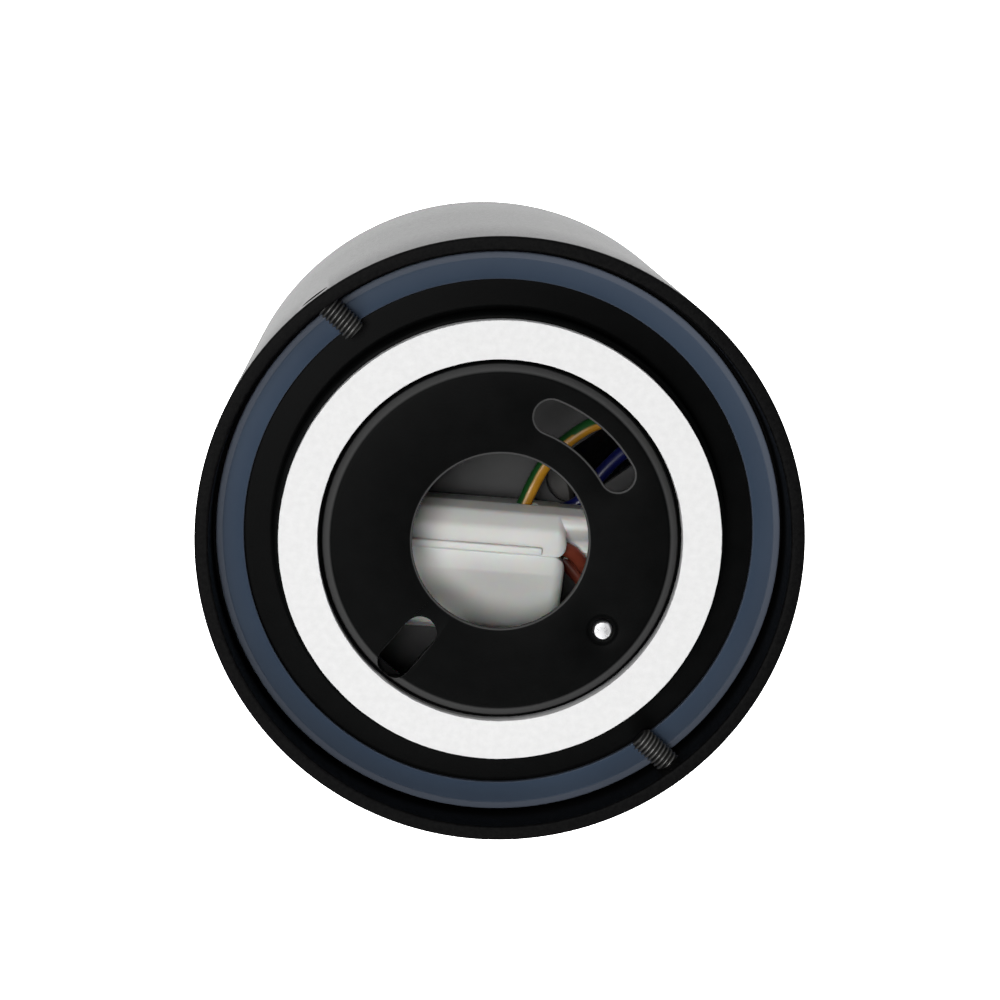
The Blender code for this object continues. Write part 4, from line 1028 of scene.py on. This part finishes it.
# ---- front ring and glass -----------------------------------------------------------------------
def front_ring():
    outer = 44.9 * MM
    wall = 36.6 * MM
    seat, floor, top = 9.2 * MM, 1.0 * MM, 15.7 * MM
    groove = (14.1 * MM, 15.4 * MM)
    steps = 8
    baffle = []
    for k in range(steps):  # anti-glare steps down the cone
        t0, t1 = k / steps, (k + 1) / steps
        r0, r1 = 25.5 + 16.1 * t0, 25.5 + 16.1 * t1
        z0 = 8.0 - 7.0 * t0
        baffle += [(r0 * MM, z0 * MM), ((r0 + 0.75 * (r1 - r0)) * MM, z0 * MM)]
    outline = (
        [(outer, floor), (outer, top), (outer - 1.7 * MM, top), (outer - 1.7 * MM, 3.4 * MM)]
        + [(wall + 1.9 * MM, 7.9 * MM), (wall + 1.9 * MM, top), (wall, top), (wall, groove[1])]
        + [(wall + 0.8 * MM, groove[1]), (wall + 0.8 * MM, groove[0]), (wall, groove[0]), (wall, seat)]
        + [(25.5 * MM, seat)]
        + baffle
        + [(41.6 * MM, floor)]
    )
    radii = [0.4 * MM, 0.2 * MM, 0.2 * MM, 0, 0, 0.1 * MM, 0.1 * MM, 0, 0, 0, 0, 0, 0.2 * MM]
    radii += [0.08 * MM] * len(baffle) + [0.3 * MM]
    ring = lathe("front_ring_baffle", rounded(outline, radii, 3), ROUND)
    low, high = 8.4 * MM, 10.6 * MM
    tabs = [prism("tab", sector(outer - MM, 46.0 * MM, a, 16), low, high, 0.15 * MM) for a in (90, 210, 330)]
    carve(ring, tabs, "UNION")
    notches = [
        block(
            "notch", (sx * 40.6 * MM - 2.6 * MM, -3 * MM, -MM),
            (sx * 40.6 * MM + 2.6 * MM, 3 * MM, 2.6 * MM), 0.3 * MM,
        )
        for sx in (-1, 1)
    ]
    carve(ring, notches)
    wear(ring, "front", "coat", "black_coat", "front_ring")
    low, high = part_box("front_glass")
    bevel = 0.4 * MM
    radius = high.x
    glass = lathe(
        "glass_disc",
        (
            (0, low.z), (radius - bevel, low.z), (radius, low.z + bevel), (radius, high.z - bevel),
            (radius - bevel, high.z), (0, high.z),
        ),
        180,
    )
    wear(glass, "front", "glass", "glass", "front_glass")
    low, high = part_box("glass_seal")
    outline = rounded(
        ((31.4 * MM, high.z), (36.0 * MM, high.z), (36.0 * MM, low.z), (31.4 * MM, low.z)), 0.3 * MM,
    )
    wear(lathe("glass_gasket", outline, 144), "front", "rubber", "rubber", "glass_seal")
    low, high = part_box("glass_clip")
    wire_r = (high.z - low.z) / 2
    middle = (low.z + high.z) / 2
    bend = [polar(wall + 0.2 * MM - wire_r * 0.2, a, middle) for a in range(6, 355, 3)]
    first, last = (polar(wall - 1.6 * MM, a, middle) for a in (4.6, 355.4))
    clip = tube("circlip", [first, *bend, last], wire_r, 16)
    wear(clip, "front", "steel", "steel", "glass_clip")


# ---- terminal box -------------------------------------------------------------------------------
def bar_along_x(name, section, low, high, round_low=0.0, round_high=0.0):
    """Sweeps a section(inset) along x, and draws its ends in by the given rounding radii."""
    stations = []
    for end, way, radius in ((low, 1, round_low), (high, -1, round_high)):
        ring = [(end, 0.0)]
        if radius:
            turns = [math.radians(15 * k) for k in range(7)]
            ring = [(end + way * radius * (1 - math.cos(a)), radius * (1 - math.sin(a))) for a in turns]
        stations += ring if way > 0 else reversed(ring)
    bm = bmesh.new()
    rings = [[bm.verts.new((x, y, z)) for y, z in section(inset)] for x, inset in stations]
    for a, b in zip(rings, rings[1:]):
        for k in range(len(a)):
            bm.faces.new((a[k - 1], a[k], b[k], b[k - 1]))
    bm.faces.new(rings[0])
    bm.faces.new(rings[-1])
    bmesh.ops.recalc_face_normals(bm, faces=bm.faces)
    return finish_mesh(name, bm)


def back_section(inset, seam=0.01 * MM):
    """The (y, z) section of the back shell: a tall wall that rolls over towards the seam."""
    low, high = BOX_Z[0] + inset, BOX_Z[1] - inset
    y = BOX_BACK_Y - inset
    seam += inset
    return rounded(
        (
            (seam, low), (y, low), (y, high - 7.0 * MM), (y - 0.9 * MM, high - 3.6 * MM),
            (y - 3.2 * MM, high - 1.2 * MM), (seam + 0.4 * MM, high), (seam, high),
        ),
        mm(0, 0.9, 2.6, 2.6, 2.6, 0.1, 0.1),
        5,
        True,
    )


def clamp_section(inset):
    """The lead clamp carries the back shell on past its end, sunk below it towards the seam."""
    low, high = BOX_Z[0] + 1.5 * MM + inset, BOX_Z[1] - 0.04 * MM - inset
    y = BOX_BACK_Y - 0.04 * MM - inset
    return rounded(
        (
            (-1.6 * MM + inset, low), (y, low), (y, high - 7.0 * MM), (y - 0.9 * MM, high - 3.6 * MM),
            (y - 2.6 * MM, high - 2.4 * MM), (1.6 * MM, high - 6.2 * MM),
            (-1.6 * MM + inset, high - 8.6 * MM),
        ),
        mm(0.4, 0.9, 2.6, 1.6, 2.0, 3.0, 0.8),
        6,
        True,
    )


def lid_section(inset, seam=-0.03 * MM):
    """The (y, z) section of the lid, which slopes down to its free wall."""
    low, high = BOX_Z[0] + inset, BOX_Z[1] - 0.3 * MM - inset
    y = -14.5 * MM + inset
    seam -= inset
    return rounded(
        (
            (seam, high), (-3.2 * MM, high - 0.15 * MM), (-5.4 * MM, high - 1.1 * MM),
            (y + 1.4 * MM, high - 4.4 * MM), (y, high - 8.0 * MM), (y, low), (seam, low),
        ),
        mm(0.25, 1.8, 1.2, 2.0, 1.6, 1.2, 0),
        5,
        True,
    )


def terminal_box():
    low_x, high_x = BOX_X
    wall = 1.5 * MM
    back = bar_along_x("box_back", back_section, low_x, high_x, 1.2 * MM, 1.7 * MM)
    lid = bar_along_x("box_lid", lid_section, low_x, high_x, 1.2 * MM, 2.2 * MM)
    rib = block(
        "rib", (low_x + MM, 0.15 * MM, BOX_Z[1] - MM), (RIB_END_X, 1.45 * MM, BOX_Z[1] + 0.6 * MM),
        0.3 * MM,
    )
    tail = bar_along_x("tail", clamp_section, high_x - 4 * MM, high_x + 6 * MM, 0, 0.3 * MM)
    carve(tail, [block("lid_side", (low_x, -4 * MM, 80 * MM), (high_x + 0.2 * MM, 0.05 * MM, 100 * MM))])
    carve(back, [rib, tail], "UNION")
    past = 2 * MM
    back_hollow = bar_along_x("hollow", lambda _: back_section(wall, -past), low_x + wall, high_x - wall)
    lid_hollow = bar_along_x("hollow", lambda _: lid_section(wall, past), low_x + wall, high_x - wall)
    earth = Vector((14.6 * MM, BOX_BACK_Y - 0.7 * MM, 89.0 * MM))
    into = Vector((1.6, 3.2, 0)) * MM
    carve(
        back,
        [back_hollow, *lead_openings(), rod("earth", earth + into, earth - into * 1.25, LEAD_R + 0.12 * MM)],
    )
    carve(lid, [lid_hollow, *lead_openings()])
    for piece in (back, lid):
        piece.data.transform(BOX_FRAME)
    wear(back, "housing", "nylon", "white_nylon", "terminal_box_back")
    wear(lid, "box_lid", "nylon", "white_nylon", "terminal_box_lid")


def lead_openings():
    low_x, high_x = BOX_X
    reach = 4 * MM
    tools = []
    for z, play in ((91.8 * MM, 0.7 * MM), (87.0 * MM, 0.2 * MM)):
        tools.append(
            rod("exit", (high_x - reach, 0.6 * MM, z), (high_x + 2 * reach, 0.6 * MM, z), LEAD_R + play),
        )
    middle = (BOX_Z[0] + BOX_Z[1]) / 2
    tools.append(rod("entry", (low_x - reach, 0, middle), (low_x + reach, 0, middle), 4.6 * MM, 48))
    return tools


def terminal_block():
    """The screw terminals inside the box."""
    half = 9.5 * MM
    low, high = POLE_Z - 2.2 * MM, POLE_Z + 2.6 * MM
    body = block(
        "connector_block", (-half, POLE_YS[0] - 1.7 * MM, low), (half, POLE_YS[-1] + 1.7 * MM, high),
        0.3 * MM,
    )
    tools = []
    for y in POLE_YS:
        tools.append(rod("bore", (-half - MM, y, POLE_Z), (half + MM, y, POLE_Z), 1.4 * MM))
        for x in POLE_XS:
            tools.append(rod("shaft", (x, y, POLE_Z), (x, y, high + MM), 1.3 * MM))
    carve(body, tools)
    body.data.transform(BOX_FRAME)
    wear(body, "housing", "nylon", "white_nylon", "terminal_block")
    number = 0
    for x in POLE_XS:
        for y in POLE_YS:
            number += 1
            low_end, high_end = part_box(f"terminal_screw_{number}")
            length = high_end.z - low_end.z
            screw = threaded(f"clamp_screw_{number}", MM, 0.15 * MM, 0.4 * MM, length, 0.2 * MM, 24)
            carve(
                screw,
                [block("slot", (-1.2 * MM, -0.2 * MM, length - 0.6 * MM), (1.2 * MM, 0.2 * MM, length + MM))],
            )
            screw.data.transform(BOX_FRAME @ Matrix.Translation((x, y, low_end.z)))
            wear(screw, "housing", "steel", "steel", f"terminal_screw_{number}")
    for i, y in enumerate(POLE_YS, 1):
        outline = rounded(((0.8, 0), (1.1, 0), (1.1, 17.0), (0.8, 17.0)), 0.08)
        clamp = lathe(f"clamp_{i}", [(r * MM, z * MM) for r, z in outline], 32)
        clamp.data.transform(BOX_FRAME @ Matrix.Translation((-8.5 * MM, y, POLE_Z)) @ LIE_DOWN)
        wear(clamp, "housing", "brass", "brass", f"terminal_clamp_{i}")


# ---- leads --------------------------------------------------------------------------------------
ROUTES = {
    "brown_lead": (
        "housing", "brown", "brown",
        (

            (5.0, -4.4, 91.8), (9.2, -4.6, 91.8), (12.2, -5.3, 91.6), (14.9, -8.6, 89.6), (16.6, -12.4, 86.2),
            (15.2, -12.2, 82.6), (10.6, -7.4, 80.6), (6.2, -3.9, 80.9), (3.9, -3.0, 80.5), (3.2, -2.8, 78.8),
            (3.2, -2.8, 75.0), (3.2, -2.8, 71.6),
        ),
    ),
    "blue_lead": (
        "housing", "blue", "blue",
        (

            (5.0, -4.4, 87.0), (9.4, -4.7, 87.0), (12.6, -5.0, 87.0), (17.4, -5.4, 87.2), (22.4, -2.6, 87.0),
            (25.8, 3.4, 86.2), (26.6, 9.2, 85.2), (24.4, 11.6, 83.6), (21.4, 9.9, 82.6), (17.6, 6.0, 82.0),
            (13.8, 1.2, 82.0), (8.0, -0.4, 82.0), (1.6, -0.4, 82.0), (-2.2, -1.8, 81.6), (-3.2, -2.8, 79.2),
            (-3.2, -2.8, 75.0), (-3.2, -2.8, 71.6),
        ),
    ),
    "earth_lead_base": (
        "ceiling_base", "earth", "green_yellow",
        (
            (2.9, -0.9, 89.0), (4.5, 2.0, 89.0), (5.9, 5.0, 89.0), (8.0, 8.6, 88.4), (11.2, 12.2, 88.4),
            (16.2, 15.7, 90.0), (21.6, 17.0, 93.6), (26.6, 14.4, 99.0), (28.7, 7.0, 104.5), (
                27.2, 0.4, 107.8,
            ),
            (23.9, -4.9, 109.7), (21.5, -7.8, 109.9),
        ),
    ),
    "earth_lead_bracket": (
        "housing", "earth", "green_yellow",
        (
            (-26.4, -2.3, 90.5), (-31.4, -1.9, 90.5), (-35.2, -3.4, 89.0), (-37.2, -8.0, 86.0),
            (-35.8, -13.6, 83.0), (-32.4, -17.0, 81.0), (-30.8, -14.9, 80.4), (-31.4, -11.2, 80.3),
        ),
    ),
}


def leads():
    for name, (body, mat, slot, points) in ROUTES.items():
        route = smooth_route([Vector(p) * MM for p in points], 0.5 * MM)
        piece = tube(f"{name}_flex", route, LEAD_R)
        wear(piece, body, mat, slot, name)
        length = sum((b - a).length for a, b in zip(route, route[1:]))
        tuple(route[0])


def kept_nodes():
    """CAD nodes whose own shape shows only inside the lampholder."""
    for name in ("lampholder_contact_1", "lampholder_contact_2"):
        nodes[name].data.materials.clear()
        nodes[name].data.materials.append(MATS["brass"])


camera()
studio()
leads()
housing()
grub_screws()
base_plate()
gasket()
seal()
earth_stud()
bracket()
fasteners()
lampholder()
lamp()
front_ring()
terminal_box()
terminal_block()
kept_nodes()
